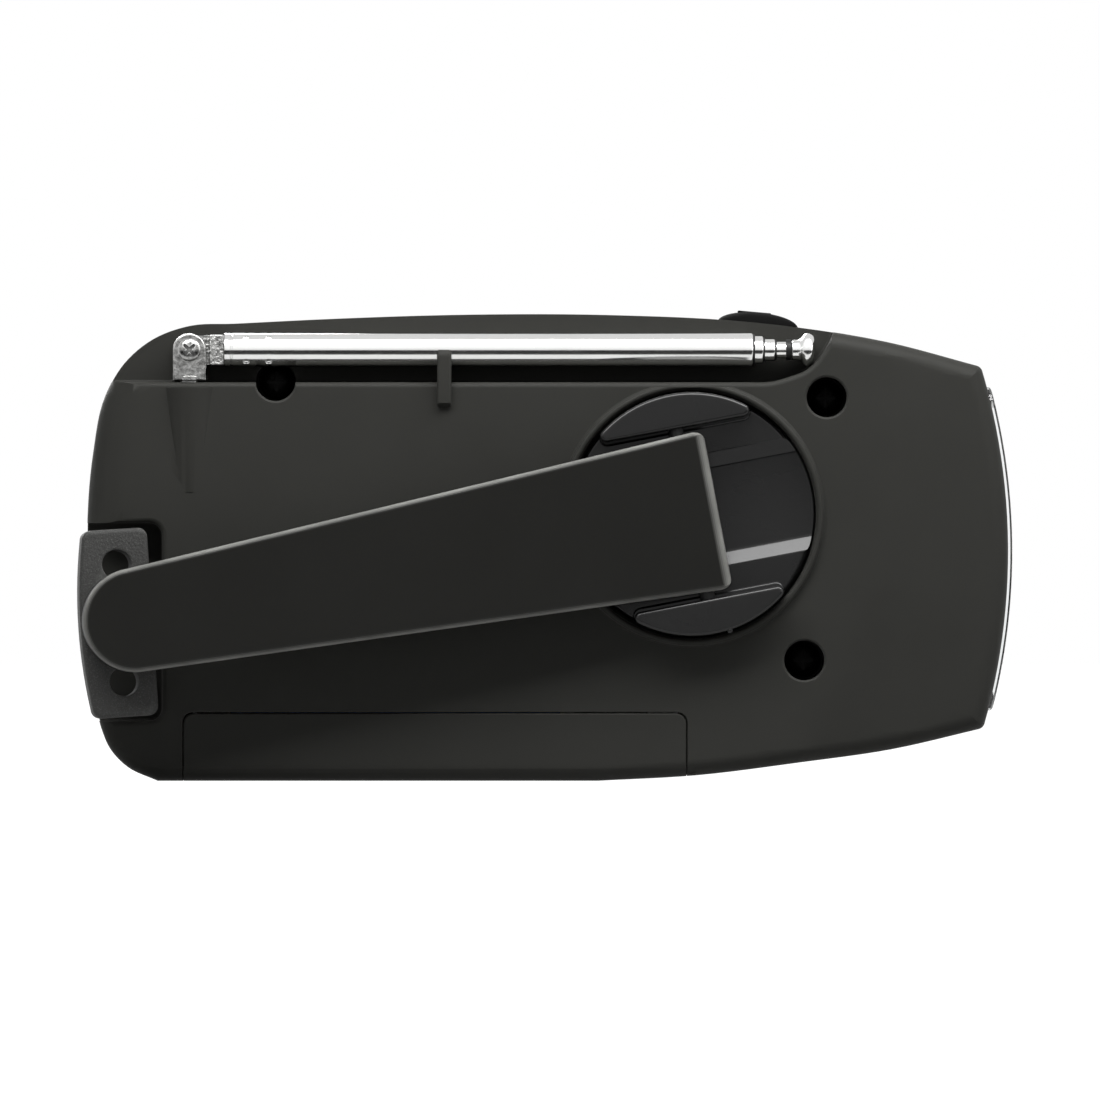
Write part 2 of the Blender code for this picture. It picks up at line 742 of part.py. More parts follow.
def slope_block(name, crease_shares, edge_x, drop, deeper, side):
    """A block whose underside falls from the crease by drop at edge_x, on the back (-1) or the front (1)."""
    sections = []
    outwards = math.copysign(1, edge_x)
    for *place, drop_share in crease_shares:
        x, z = spot(place)
        fall = drop * drop_share / abs(edge_x - x)
        far = edge_x + outwards * OVERRUN
        near = x - outwards * deeper * abs(edge_x - x) / drop
        floor = -drop * drop_share - fall * OVERRUN
        heights = ((near, deeper), (far, floor), (far, deeper + OVERRUN), (near, deeper + OVERRUN))
        sections.append([(along, side * (FRONT_Y + height - deeper), z) for along, height in heights])
    block = loft(name, sections)
    block.modifiers.new("Flat faces", "TRIANGULATE")
    return block


def slope_blocks(label, deeper):
    """The four slopes, moved inwards by deeper."""
    half = HOUSING_LENGTH / 2
    blocks = []
    for word, side in (("back", -1), ("front", 1)):
        blocks.append(slope_block(f"head_{word}_{label}", HEAD_CREASE_SHARES, half, HEAD_DROP, deeper, side))
        blocks.append(slope_block(f"tail_{word}_{label}", TAIL_CREASE_SHARES, -half, TAIL_DROP, deeper, side))
    return blocks


def rebate_outline(grow=0):
    wall = REBATE_WALL_SHARE * HOUSING_HEIGHT - grow
    end = [spot(share) for share in REBATE_END_SHARES]
    sweep = [(x + grow, z - grow) for x, z in end]
    return [(-FAR_LENGTH, wall), *sweep, (sweep[-1][0], FAR_HEIGHT), (-FAR_LENGTH, FAR_HEIGHT)]


def notch_bounds(grow=0):
    """The inner x, the lower z and the upper z of the notch that takes the grip."""
    lean_rise = GRIP_LENGTH / 2 * math.cos(GRIP_LEAN)
    lean_side = GRIP_INNER_HALF * math.sin(GRIP_LEAN)
    half_height = lean_rise + lean_side + NOTCH_GAP + grow
    inner = GRIP_PIVOT[0] + GRIP_INNER_HALF + GRIP_LENGTH / 2 * math.sin(GRIP_LEAN) + NOTCH_GAP + grow
    return inner, GRIP_PIVOT[1] - half_height, GRIP_PIVOT[1] + half_height


def notch_block(label, grow, deeper):
    inner, low, high = notch_bounds(grow)
    outline = rounded_box((-FAR_LENGTH, low), (inner, high), NOTCH_CORNER)
    depth = GRIP_SINK + NOTCH_FLOOR_GAP + deeper
    return slab(f"notch_{label}", outline, -depth, OVERRUN, None, BACK_FRAME)


def housing_blank():
    blank = slab("housing_blank", housing_outline(), -HOUSING_DEPTH, 0, None, BACK_FRAME)
    cut(blank, *slope_blocks("outer", 0))
    soften(blank, EDGE_ROUND, EDGE_STEPS)
    return evaluated_mesh(blank)


def cavity():
    inner = inset(housing_outline(), WALL)
    hollow = slab("cavity", inner, WALL - HOUSING_DEPTH, -WALL, None, BACK_FRAME)
    cut(hollow, notch_block("grown", WALL - SLIDE_GAP, WALL))
    cut(hollow, *slope_blocks("inner", WALL))
    cut(hollow, slab("rebate_grown", rebate_outline(WALL), -REBATE_DEPTH - WALL, OVERRUN, None, BACK_FRAME))
    frame = back_spot(ROTOR)
    cut(hollow, rod("well_grown", WELL_RADIUS + WALL, -WELL_INSIDE, OVERRUN, FINE_STEPS, None, frame))
    return hollow


BLANK = housing_blank()
CAVITY = cavity()


def skin(name, finish):
    """A copy of the housing blank, to cut a shell or a cover from."""
    return add(name, BLANK.copy(), finish, BACK_FRAME)


def end_arc(offset, steps=END_STEPS):
    """The arc of the torch end, moved outwards by offset, from bottom to top."""
    top, bottom = spot(TOP_RUN_SHARES[0]), spot(BOTTOM_RUN_SHARES[-1])
    arc = arc_through(bottom, spot(END_BULGE_SHARE), top, steps)
    return [(x + offset, z) for x, z in arc] + [(top[0] + offset, top[1])]


def lens_block(name, half_depth, inner, outer, grow, finish=None):
    """A curved plate along the torch end, with its corners rounded."""
    outline = end_arc(outer) + end_arc(inner)[::-1]
    plate = slab(name, outline, -FRONT_Y - half_depth, half_depth - FRONT_Y, finish, BACK_FRAME)
    low, high = (share * HOUSING_HEIGHT for share in LENS_SHARES)
    window = rounded_box((low - grow, -half_depth), (high + grow, half_depth), LENS_CORNER)
    keep(plate, slab(name + "_window", window, -FAR_LENGTH, 0, None, END_FRAME))
    return plate


# Rear shell
def screw_well(index):
    """The boss round a housing screw, its well and the hole for its shank."""
    place = spot(SCREW_SHARES[index])
    top = -GRIP_SINK - NOTCH_FLOOR_GAP if index == NOTCH_SCREW else 0
    frame = back_spot(place)
    radius = SCREW_WELL_RADIUS + SCREW_WELL_WALL
    boss = rod(f"boss_{index}", radius, GAP - PARTING_DEPTH, top - WALL / 2, MEDIUM_STEPS, None, frame)
    well = rod(f"well_{index}", SCREW_WELL_RADIUS, -SCREW_SEAT_DEPTH, OVERRUN, MEDIUM_STEPS, None, frame)
    radius = SCREW_SHANK_RADIUS + SLIDE_GAP
    hole = rod(f"hole_{index}", radius, -PARTING_DEPTH - OVERRUN, OVERRUN, SMALL_STEPS, None, frame)
    return boss, well, hole


def hook():
    """The finger that holds the stowed antenna in its rebate."""
    x = HOOK_SHARE * HOUSING_LENGTH
    root = HOOK_ROOT_SHARE * HOUSING_HEIGHT
    tip = HOOK_TIP_SHARE * HOUSING_HEIGHT
    wall = REBATE_WALL_SHARE * HOUSING_HEIGHT
    clear = ANTENNA_DEPTH - TUBE_RADIUS - GAP
    outline = (
        (root, -WALL / 2),
        (root + HOOK_PROUD, HOOK_PROUD),
        (tip - HOOK_PROUD, HOOK_PROUD),
        (tip, HOOK_PROUD / 2),
        (tip, -clear),
        (wall, -clear),
        (wall - HOOK_WIDTH / 2, -WALL / 2),
    )
    # Local x of this frame is world z, local y points out of the back and local z along the length
    frame = Matrix.Translation((x, BACK_Y, 0)) @ END_FRAME @ Matrix.Rotation(math.pi, 4, "X")
    return slab("hook", outline, -HOOK_WIDTH / 2, HOOK_WIDTH / 2, None, frame)


def fairing():
    """The half cone under the antenna base, which fades into the back."""
    top = REBATE_WALL_SHARE * HOUSING_HEIGHT
    frame = Matrix.Translation((ANTENNA_PIVOT[0], BACK_Y + ANTENNA_DEPTH, 0))
    low = top - FAIRING_LENGTH_SHARE * HOUSING_HEIGHT
    return rod("fairing", FAIRING_END_RADIUS, low, top, MEDIUM_STEPS, None, frame, FAIRING_TOP_RADIUS)


def fairing_hole():
    top = REBATE_WALL_SHARE * HOUSING_HEIGHT
    frame = Matrix.Translation((ANTENNA_PIVOT[0], BACK_Y + ANTENNA_DEPTH, 0))
    low = top - FORK_PIN_LENGTH - GAP
    return rod("fairing_hole", FORK_PIN_RADIUS + SLIDE_GAP, low, top + OVERRUN, SMALL_STEPS, None, frame)


def collar():
    """The raised rounded ring round the rotor well."""
    outer = WELL_RADIUS + COLLAR_WIDTH
    profile = (
        (outer - COLLAR_WIDTH / 2, COLLAR_HEIGHT),
        (outer, COLLAR_HEIGHT / 2),
        (outer, -WALL / 2),
        (WELL_RADIUS + SLIDE_GAP / 2, -WALL / 2),
        (WELL_RADIUS + SLIDE_GAP / 2, COLLAR_HEIGHT),
    )
    return turned("collar", profile, FINE_STEPS, None, back_spot(ROTOR), ring=True)


def door_outline(gap):
    """The door's outline on the back, open past the lower edge."""
    low = (DOOR_LEFT + gap, -DOOR_HEIGHT)
    high = (DOOR_RIGHT - gap, DOOR_HEIGHT - gap)
    return rounded_box(low, high, DOOR_CORNER)


def bay():
    """The walls round the cell, the space inside them and the opening that the door closes."""
    left, right = DOOR_LEFT, DOOR_RIGHT
    walls = box(
        "bay_walls",
        (left - BAY_FOOT, BACK_Y + WALL / 2, WALL / 2),
        (right + BAY_FOOT, BACK_Y + BAY_DEPTH + BAY_WALL, BAY_TOP + BAY_WALL),
    )
    space = box(
        "bay_space",
        (left + BAY_SEAT, BACK_Y + WALL, WALL),
        (right - BAY_SEAT, BACK_Y + BAY_DEPTH, BAY_TOP),
    )
    opening = slab("door_opening", door_outline(0), -DOOR_REACH, OVERRUN, None, BACK_FRAME)
    keep(opening, corner_strip("door_way", WALL + GAP))
    return walls, space, opening


def corner_strip(name, thickness):
    """The part of the housing's corner that lies within this thickness of its back and its underside."""
    low, high = DOOR_LEFT - OVERRUN, DOOR_RIGHT + OVERRUN
    depth = thickness - HOUSING_DEPTH / 2
    outline = (
        (-OVERRUN - HOUSING_DEPTH / 2, -OVERRUN),
        (0, -OVERRUN),
        (0, thickness),
        (depth, thickness),
        (depth, HOUSING_HEIGHT),
        (-OVERRUN - HOUSING_DEPTH / 2, HOUSING_HEIGHT),
    )
    return slab(name, outline, low, high, None, LENGTH_FRAME)


def button_frame():
    x, z = spot(BUTTON_SHARE)
    return Matrix.Translation((x, BUTTON_Y, z)) @ Matrix.Rotation(BUTTON_TILT, 4, "Y")


def button_hole():
    outline = capsule(BUTTON_LENGTH + GAP * 2, BUTTON_WIDTH + GAP * 2)
    return slab("button_hole", outline, -WALL * 2, OVERRUN, None, button_frame())


def button_shelf():
    """The ledge on the inner side of the rebate that carries the torch switch."""
    x = BUTTON_SHARE[0] * HOUSING_LENGTH
    top = tact_top() - TACT_HEIGHT - GAP
    low = (x - TACT_SIDE / 2 - WALL / 2, BACK_Y + REBATE_DEPTH + WALL / 2, top - SHELF_THICKNESS)
    high = (x + TACT_SIDE / 2 + WALL / 2, BUTTON_Y + TACT_SIDE / 2, top)
    return box("button_shelf", low, high)


def tact_top():
    """The height of the torch switch's body, under the button's flange."""
    rise = BUTTON_SHARE[1] * HOUSING_HEIGHT - WALL - BUTTON_TRAVEL - GAP - BUTTON_FLANGE_THICKNESS
    return rise - BUTTON_TRAVEL - GAP - TACT_STEM_HEIGHT - WALL / 2


def socket_outline(gap):
    """The socket cover's outline seen from below, along x and y."""
    left, right = (share * HOUSING_LENGTH for share in SOCKET_SHARES)
    return (left + gap, gap - SOCKET_HALF_DEPTH), (right - gap, SOCKET_HALF_DEPTH - gap)


def socket_block_low():
    """The underside of the socket block, over the highest point of the skin below it."""
    return SOCKET_COVER_TOP_SHARE * HOUSING_HEIGHT


def rear_shell():
    shell = skin("rear_shell", "soft_black")
    front_half = box(
        "front_half",
        (-FAR_LENGTH, PARTING_Y - GAP / 2, -OVERRUN),
        (FAR_LENGTH, FAR_LENGTH, FAR_LENGTH),
    )
    cut(shell, front_half, CAVITY)
    wells = [screw_well(index) for index in range(len(SCREW_SHARES))]
    for boss, _, _ in wells:
        join(shell, boss)
    walls, space, opening = bay()
    join(shell, walls, fairing(), collar(), button_shelf())
    cut(shell, slab("rebate", rebate_outline(), -REBATE_DEPTH, OVERRUN, None, BACK_FRAME))
    join(shell, hook())
    cut(shell, notch_block("cut", 0, 0), space, opening)
    for _, well, hole in wells:
        cut(shell, well, hole)
    frame = back_spot(ROTOR)
    cut(shell, rod("rotor_well", WELL_RADIUS, -WELL_DEPTH, OVERRUN, FINE_STEPS, None, frame))
    cut(shell, rod("bush_hole", BUSH_RADIUS + GAP, -WELL_INSIDE - OVERRUN, 0, MEDIUM_STEPS, None, frame))
    cut(shell, fairing_hole(), button_hole())
    cut(shell, *lens_seat("rear"))
    low, high = socket_outline(0)
    cut(shell, box("socket_way", (*low, -OVERRUN), (*high, socket_block_low() - GAP)))
    return shell


def lens_seat(label):
    """The seat cut into the torch end for the lens, and the opening behind it."""
    floor = LENS_PROUD - LENS_THICKNESS - GAP
    seat = lens_block(f"lens_seat_{label}", LENS_HALF_DEPTH + GAP, floor, OVERRUN, GAP)
    low, high = (share * HOUSING_HEIGHT for share in LENS_SHARES)
    outline = rounded_box(
        (low + LENS_SEAT, -OPENING_HALF_DEPTH),
        (high - LENS_SEAT, OPENING_HALF_DEPTH),
        LENS_CORNER - LENS_SEAT,
    )
    inner_x = TOP_RUN_SHARES[0][0] * HOUSING_LENGTH - WALL * 2
    opening = slab(f"lens_opening_{label}", outline, -HOUSING_LENGTH / 2 - OVERRUN, -inner_x, None, END_FRAME)
    return seat, opening


# Front shell
def grille_slots():
    slots = []
    for i in range(GRILLE_SLOTS):
        rise = (i - (GRILLE_SLOTS - 1) / 2) * GRILLE_PITCH
        length = 2 * math.sqrt(GRILLE_RADIUS**2 - rise**2)
        frame = moved(front_spot(SPEAKER), 0, rise)
        outline = capsule(length, GRILLE_SLOT_HEIGHT, 4)
        slots.append(slab(f"slot_{i}", outline, -WALL * 2, OVERRUN, None, frame))
    return slots


def tube(name, radius, wall, low, high, steps, finish=None, frame=None):
    """A plain ring or tube."""
    profile = ((radius, high), (radius, low), (radius - wall, low), (radius - wall, high))
    return turned(name, profile, steps, finish, frame, ring=True)


def front_shell():
    shell = skin("front_shell", "soft_black")
    rear_half = box(
        "rear_half",
        (-FAR_LENGTH, -FAR_LENGTH, -OVERRUN),
        (FAR_LENGTH, PARTING_Y + GAP / 2, FAR_LENGTH),
    )
    cut(shell, rear_half, CAVITY)
    inner = -WALL / 2
    for index, share in enumerate(SCREW_SHARES):
        frame = front_spot(spot(share))
        low = GAP / 2 - FRONT_SHELL_DEPTH
        join(shell, rod(f"front_boss_{index}", FRONT_BOSS_RADIUS, low, inner, SMALL_STEPS, None, frame))
        radius = SCREW_SHANK_RADIUS + SLIDE_GAP
        high = low + SCREW_REACH + GAP * 2
        cut(shell, rod(f"pilot_{index}", radius, low - OVERRUN, high, SMALL_STEPS, None, frame))
    ring_outer = SPEAKER_RADIUS + GAP + SPEAKER_RING_WALL
    ring_low = -WALL - SPEAKER_RING_HEIGHT
    frame = front_spot(SPEAKER)
    join(shell, tube("speaker_ring", ring_outer, SPEAKER_RING_WALL, ring_low, inner, FINE_STEPS, None, frame))
    for index, share in enumerate(BOARD_POST_SHARES):
        low = BOARD_Y + BOARD_THICKNESS + GAP - FRONT_Y
        frame = front_spot(spot(share))
        join(shell, rod(f"board_post_{index}", BOARD_POST_RADIUS, low, inner, TINY_STEPS, None, frame))
    cut(shell, *grille_slots())
    recess = -DIAL_RECESS
    frame = front_spot(spot(TUNING_SHARE))
    cut(shell, rod("dial_recess", DIAL_OUTER_RADIUS + GAP, recess, OVERRUN, FINE_STEPS, None, frame))
    for share in (TUNING_SHARE, VOLUME_SHARE):
        radius = STEM_RADIUS + GAP
        frame = front_spot(spot(share))
        cut(shell, rod("stem_hole", radius, -WALL * 2, OVERRUN, SMALL_STEPS, None, frame))
    low = (-SWITCH_STEM[0] / 2 - GAP - SWITCH_TRAVEL, -SWITCH_STEM[1] / 2 - GAP, -WALL * 2)
    high = (SWITCH_STEM[0] / 2 + GAP, SWITCH_STEM[1] / 2 + GAP, OVERRUN)
    cut(shell, box("switch_slot", low, high, None, front_spot(spot(SWITCH_SHARE))))
    frame = front_spot(spot(CHARGE_SHARE))
    cut(shell, rod("charge_hole", CHARGE_RADIUS + SLIDE_GAP, -WALL * 2, OVERRUN, SMALL_STEPS, None, frame))
    cut(shell, *lens_seat("front"))
    return shell


# Battery door, cell and contacts
def battery_door():
    door = skin("battery_door", "soft_black")
    keep(door, slab("door_outline", door_outline(GAP), GAP - DOOR_REACH, OVERRUN, None, BACK_FRAME))
    keep(door, corner_strip("door_skin", WALL))
    return door


def battery_cell():
    middle = (DOOR_LEFT + DOOR_RIGHT) / 2
    start = middle - CELL_LENGTH / 2
    cell_end = start + CELL_LENGTH
    frame = Matrix.Translation((0, BACK_Y - CELL_HEIGHT, CELL_Z)) @ Matrix.Rotation(RIGHT_ANGLE, 4, "Y")
    profile = (
        (0, cell_end + CELL_BUTTON_HEIGHT),
        (CELL_BUTTON_RADIUS, cell_end + CELL_BUTTON_HEIGHT),
        (CELL_BUTTON_RADIUS, cell_end),
        (CELL_RADIUS - GAP, cell_end),
        (CELL_RADIUS, cell_end - GAP),
        (CELL_RADIUS, start),
        (0, start),
    )
    return turned("battery_cell", profile, MEDIUM_STEPS, "cell_blue", frame)


def battery_contacts():
    """The flat plate at the positive end and the coil spring on its plate at the other."""
    middle = (DOOR_LEFT + DOOR_RIGHT) / 2
    y, z = BACK_Y - CELL_HEIGHT, CELL_Z
    right = DOOR_RIGHT - BAY_SEAT - GAP
    low = (right - CONTACT_THICKNESS, y - CONTACT_HALF, z - CONTACT_HALF)
    box("battery_plate", low, (right, y + CONTACT_HALF, z + CONTACT_HALF), "steel")
    reach = middle + CELL_LENGTH / 2 + CELL_BUTTON_HEIGHT + GAP
    low = (reach, y - CELL_BUTTON_RADIUS, z - CELL_BUTTON_RADIUS)
    high = (right, y + CELL_BUTTON_RADIUS, z + CELL_BUTTON_RADIUS)
    join(PARTS.objects["battery_plate"], box("plate_dimple", low, high))
    left = DOOR_LEFT + BAY_SEAT + GAP
    high = (left + CONTACT_THICKNESS, y + CONTACT_HALF, z + CONTACT_HALF)
    plate = box("battery_spring", (left, y - CONTACT_HALF, z - CONTACT_HALF), high, "steel")
    start = left + CONTACT_THICKNESS - SPRING_WIRE / 2
    join(plate, coil(start, middle - CELL_LENGTH / 2 - GAP - SPRING_WIRE, y, z))


def coil(start, end, y, z):
    """A conical coil along the length, made a mesh."""
    curve = bpy.data.curves.new("spring_wire", "CURVE")
    curve.dimensions = "3D"
    curve.bevel_depth = SPRING_WIRE
    curve.bevel_resolution = 0
    curve.use_fill_caps = True
    count = SPRING_TURNS * TINY_STEPS
    spline = curve.splines.new("POLY")
    spline.points.add(count)
    for i, point in enumerate(spline.points):
        share = i / count
        angle = 2 * math.pi * SPRING_TURNS * share
        radius = SPRING_RADIUS * (1 - share / 2)
        along = start + (end - start) * share
        point.co = (along, y + radius * math.cos(angle), z + radius * math.sin(angle), 1)
    guide = bpy.data.objects.new("spring_guide", curve)
    CUTTERS.objects.link(guide)
    mesh = evaluated_mesh(guide)
    build = bmesh.new()
    build.from_mesh(mesh)
    bpy.data.objects.remove(guide)
    bpy.data.curves.remove(curve)
    bpy.data.meshes.remove(mesh)
    return add("spring_coil", mesh_of(build))


# Housing screws
def cross_recess(name, frame, top):
    """The two crossed slots of a screw's recess."""
    long_slot = (CROSS_LENGTH / 2, CROSS_WIDTH / 2)
    slots = []
    for index, (x, y) in enumerate((long_slot, long_slot[::-1])):
        slots.append(box(f"{name}_{index}", (-x, -y, top - CROSS_DEPTH), (x, y, top + OVERRUN), None, frame))
    join(slots[0], slots[1])
    return slots[0]


def housing_screws():
    for index, share in enumerate(SCREW_SHARES):
        seat = -SCREW_SEAT_DEPTH + GAP
        tip = -PARTING_DEPTH - SCREW_REACH
        profile = (
            (0, seat + SCREW_HEAD_HEIGHT),
            (SCREW_HEAD_RADIUS * 2 / 3, seat + SCREW_HEAD_HEIGHT),
            (SCREW_HEAD_RADIUS, seat + SCREW_HEAD_HEIGHT / 2),
            (SCREW_HEAD_RADIUS, seat),
            (SCREW_SHANK_RADIUS, seat),
            (SCREW_SHANK_RADIUS, tip + SCREW_SHANK_RADIUS),
            (0, tip),
        )
        turned(f"housing_screw_{index + 1}", profile, TINY_STEPS, "steel", back_spot(spot(share)))


# Crank: the rotor's frame has x along the stowed arm and z out of the back
ROTOR_FRAME = back_spot(ROTOR, ARM_ANGLE)
STOWED_FRAME = moved(ROTOR_FRAME, 0, 0, HINGE_HEIGHT)
ARM_FRAME = STOWED_FRAME @ Matrix.Rotation(-REST_LIFT, 4, "Y")


def crank_rotor():
    radius, low = ROTOR_RADIUS, -ROTOR_UNDERSIDE
    rotor = rod("crank_rotor", radius, low, -LEDGE_DEPTH, FINE_STEPS, "gloss_black", ROTOR_FRAME)
    pads = rod("rotor_pads", radius, low + GAP, PAD_HEIGHT, FINE_STEPS, None, ROTOR_FRAME)
    soften(pads, PAD_ROUND)
    reach = ROTOR_RADIUS + OVERRUN
    low = (-reach, -PAD_CHORD, -ROTOR_UNDERSIDE - OVERRUN)
    cut(pads, box("pad_trough", low, (reach, PAD_CHORD, PAD_HEIGHT + OVERRUN), None, ROTOR_FRAME))
    join(rotor, pads)
    top = CHANNEL_HALF + CHANNEL_SLOPE
    steep = CHANNEL_SLOPE / (CHANNEL_DEPTH - LEDGE_DEPTH) * OVERRUN
    outline = (
        (-CHANNEL_HALF, -CHANNEL_DEPTH),
        (CHANNEL_HALF, -CHANNEL_DEPTH),
        (top + steep, OVERRUN - LEDGE_DEPTH),
        (-top - steep, OVERRUN - LEDGE_DEPTH),
    )
    # Local x of this frame runs across the arm, local y points out of the back and local z along the arm
    frame = ROTOR_FRAME @ Matrix.Rotation(RIGHT_ANGLE, 4, "Z") @ Matrix.Rotation(RIGHT_ANGLE, 4, "X")
    cut(rotor, slab("rotor_channel", outline, -reach, reach, None, frame))
    hub_end = WELL_INSIDE + GAP + FLANGE_THICKNESS
    top = GAP - ROTOR_UNDERSIDE
    join(rotor, rod("rotor_hub", HUB_RADIUS, -hub_end, top, MEDIUM_STEPS, None, ROTOR_FRAME))
    bore = SHAFT_RADIUS + SLIDE_GAP
    top = -CHANNEL_DEPTH - WALL / 2
    cut(rotor, rod("rotor_bore", bore, -hub_end - OVERRUN, top, SMALL_STEPS, None, ROTOR_FRAME))
    cut(rotor, pin_rod("pin_bore", PIN_RADIUS + SLIDE_GAP, SLIDE_GAP, None))
    return rotor


def pin_rod(name, radius, grow, finish):
    """A rod along the hinge line, which runs across the arm at the rotor's centre."""
    reach = PAD_CHORD + PIN_GRIP + grow
    frame = STOWED_FRAME @ Matrix.Rotation(RIGHT_ANGLE, 4, "X")
    return rod(name, radius, -reach, reach, SMALL_STEPS, finish, frame)


def rotor_shaft():
    low = -BRACKET_FAR - GAP
    top = -CHANNEL_DEPTH - WALL / 2 - GAP
    rod("rotor_shaft", SHAFT_RADIUS, low, top, SMALL_STEPS, "steel", ROTOR_FRAME)


def rotor_bearing():
    inner = HUB_RADIUS + GAP
    outer = BUSH_RADIUS
    flange = outer + BUSH_FLANGE
    near = -WELL_DEPTH
    floor = -WELL_INSIDE - GAP
    profile = (
        (outer, near),
        (outer, floor),
        (flange, floor),
        (flange, floor - FLANGE_THICKNESS),
        (inner, floor - FLANGE_THICKNESS),
        (inner, near),
    )
    turned("rotor_bearing", profile, MEDIUM_STEPS, "white_nylon", back_spot(ROTOR), ring=True)


def arm_half_width(along):
    """Half the arm's width at this distance from the hinge, between its heel and its round tip."""
    tip = ARM_REACH - ARM_TIP_INSET
    share = (along + ARM_HEEL_BACK) / (tip + ARM_HEEL_BACK)
    return ARM_HEEL_HALF + (ARM_TIP_RADIUS - ARM_HEEL_HALF) * share


def crank_arm():
    tip = ARM_REACH - ARM_TIP_INSET
    outline = [(-ARM_HEEL_BACK, ARM_HEEL_HALF), (-ARM_HEEL_BACK, -ARM_HEEL_HALF)]
    outline += arc_points((tip, 0), ARM_TIP_RADIUS, -RIGHT_ANGLE, RIGHT_ANGLE, TINY_STEPS)
    half = ARM_THICKNESS / 2
    arm = slab("crank_arm", outline, -half, half, "lever_black", ARM_FRAME)
    mesh = arm.data
    heel = mesh.attributes.new("bevel_weight_edge", "FLOAT", "EDGE")
    for edge in mesh.edges:
        ends = [mesh.vertices[i].co for i in edge.vertices]
        flat = abs(ends[0].z - ends[1].z) < GAP
        at_heel = all(end.x < 0 for end in ends)
        heel.data[edge.index].value = 1 if at_heel or not flat and ends[0].x < 0 else flat / 2
    bevel = arm.modifiers.new("Soften", "BEVEL")
    bevel.width = ARM_ROUND
    bevel.segments = 3
    bevel.limit_method = "WEIGHT"
    start = ARM_HEEL_BLOCK
    end = tip - GRIP_PIN_RADIUS * 2
    pitch = (end - start) / ARM_POCKETS
    for index in range(ARM_POCKETS):
        near = start + pitch * index
        far = near + pitch - ARM_RIB
        near_half, far_half = arm_half_width(near) - ARM_RIM, arm_half_width(far) - ARM_RIM
        pocket = ((near, near_half), (near, -near_half), (far, -far_half), (far, far_half))
        cut(arm, slab(f"arm_pocket_{index}", pocket, -half - OVERRUN, half - ARM_SKIN, None, ARM_FRAME))
    frame = ARM_FRAME @ Matrix.Rotation(RIGHT_ANGLE, 4, "X")
    radius = PIN_RADIUS + SLIDE_GAP
    reach = ARM_HEEL_HALF + OVERRUN
    cut(arm, rod("arm_pin_bore", radius, -reach, reach, SMALL_STEPS, None, frame))
    frame = moved(ARM_FRAME, ARM_REACH)
    radius = GRIP_PIN_RADIUS + SLIDE_GAP
    low, high = -half - OVERRUN, GRIP_PIN_HOLD - half + GAP
    cut(arm, rod("arm_grip_bore", radius, low, high, SMALL_STEPS, None, frame))
    return arm


GRIP_TOP = -ARM_THICKNESS / 2 - GAP
GRIP_LOW = -GRIP_SINK - HINGE_HEIGHT


def grip_frame():
    """The grip's frame: x across the grip towards the rotor, y along it."""
    lean = -ARM_ANGLE + GRIP_LEAN
    return moved(ARM_FRAME, ARM_REACH, 0, 0, lean)


def crank_grip():
    half = GRIP_LENGTH / 2
    frame = grip_frame()
    right = GRIP_INNER_HALF - GRIP_CORNER
    left = -GRIP_OUTER_HALF + GRIP_CORNER
    up = half - GRIP_CORNER
    outline = arc_points((right, -up), GRIP_CORNER, -RIGHT_ANGLE, 0, 3)
    outline += arc_points((right, up), GRIP_CORNER, 0, RIGHT_ANGLE, 3)
    outline += arc_points((left, up), GRIP_CORNER, RIGHT_ANGLE, math.pi, 3)
    middle = (-GRIP_OUTER_HALF - GRIP_BULGE, 0)
    outline += arc_through((-GRIP_OUTER_HALF, up), middle, (-GRIP_OUTER_HALF, -up), 6)[1:]
    outline += arc_points((left, -up), GRIP_CORNER, math.pi, math.pi + RIGHT_ANGLE, 3)
    grip = slab("crank_grip", outline, GRIP_LOW, GRIP_TOP, "rough_black", frame)
    soften(grip, GRIP_EDGE, 1)
    for index, side in enumerate((-1, 1)):
        hole_frame = moved(frame, 0, side * GRIP_HOLE_SPREAD)
        reach = (GRIP_LOW - OVERRUN, GRIP_TOP + OVERRUN)
        cut(grip, rod(f"grip_hole_{index}", GRIP_HOLE_RADIUS, *reach, SMALL_STEPS, None, hole_frame))
    radius = GRIP_PIN_RADIUS + GAP
    cut(grip, rod("grip_bore", radius, GRIP_LOW - OVERRUN, GRIP_TOP + OVERRUN, SMALL_STEPS, None, frame))
    radius = GRIP_PIN_HEAD + GAP
    top = GRIP_LOW + GRIP_PIN_HEAD_HEIGHT + GAP * 2
    cut(grip, rod("grip_counterbore", radius, GRIP_LOW - OVERRUN, top, SMALL_STEPS, None, frame))
    return grip


def grip_pin():
    top = -ARM_THICKNESS / 2 + GRIP_PIN_HOLD
    head = GRIP_LOW + GAP + GRIP_PIN_HEAD_HEIGHT
    profile = (
        (0, top),
        (GRIP_PIN_RADIUS, top),
        (GRIP_PIN_RADIUS, head),
        (GRIP_PIN_HEAD, head),
        (GRIP_PIN_HEAD, GRIP_LOW + GAP),
        (0, GRIP_LOW + GAP),
    )
    turned("grip_pin", profile, SMALL_STEPS, "steel", moved(ARM_FRAME, ARM_REACH))


# Gear train
def drive_gear():
    outline = gear_outline(DRIVE_TEETH, INTERMEDIATE_ANGLE)
    gear = slab("drive_gear", outline, -DRIVE_FAR, -DRIVE_NEAR, "white_nylon", back_spot(ROTOR))
    radius = SHAFT_RADIUS + SLIDE_GAP
    cut(gear, rod("drive_bore", radius, -DRIVE_FAR - OVERRUN, 0, SMALL_STEPS, None, back_spot(ROTOR)))


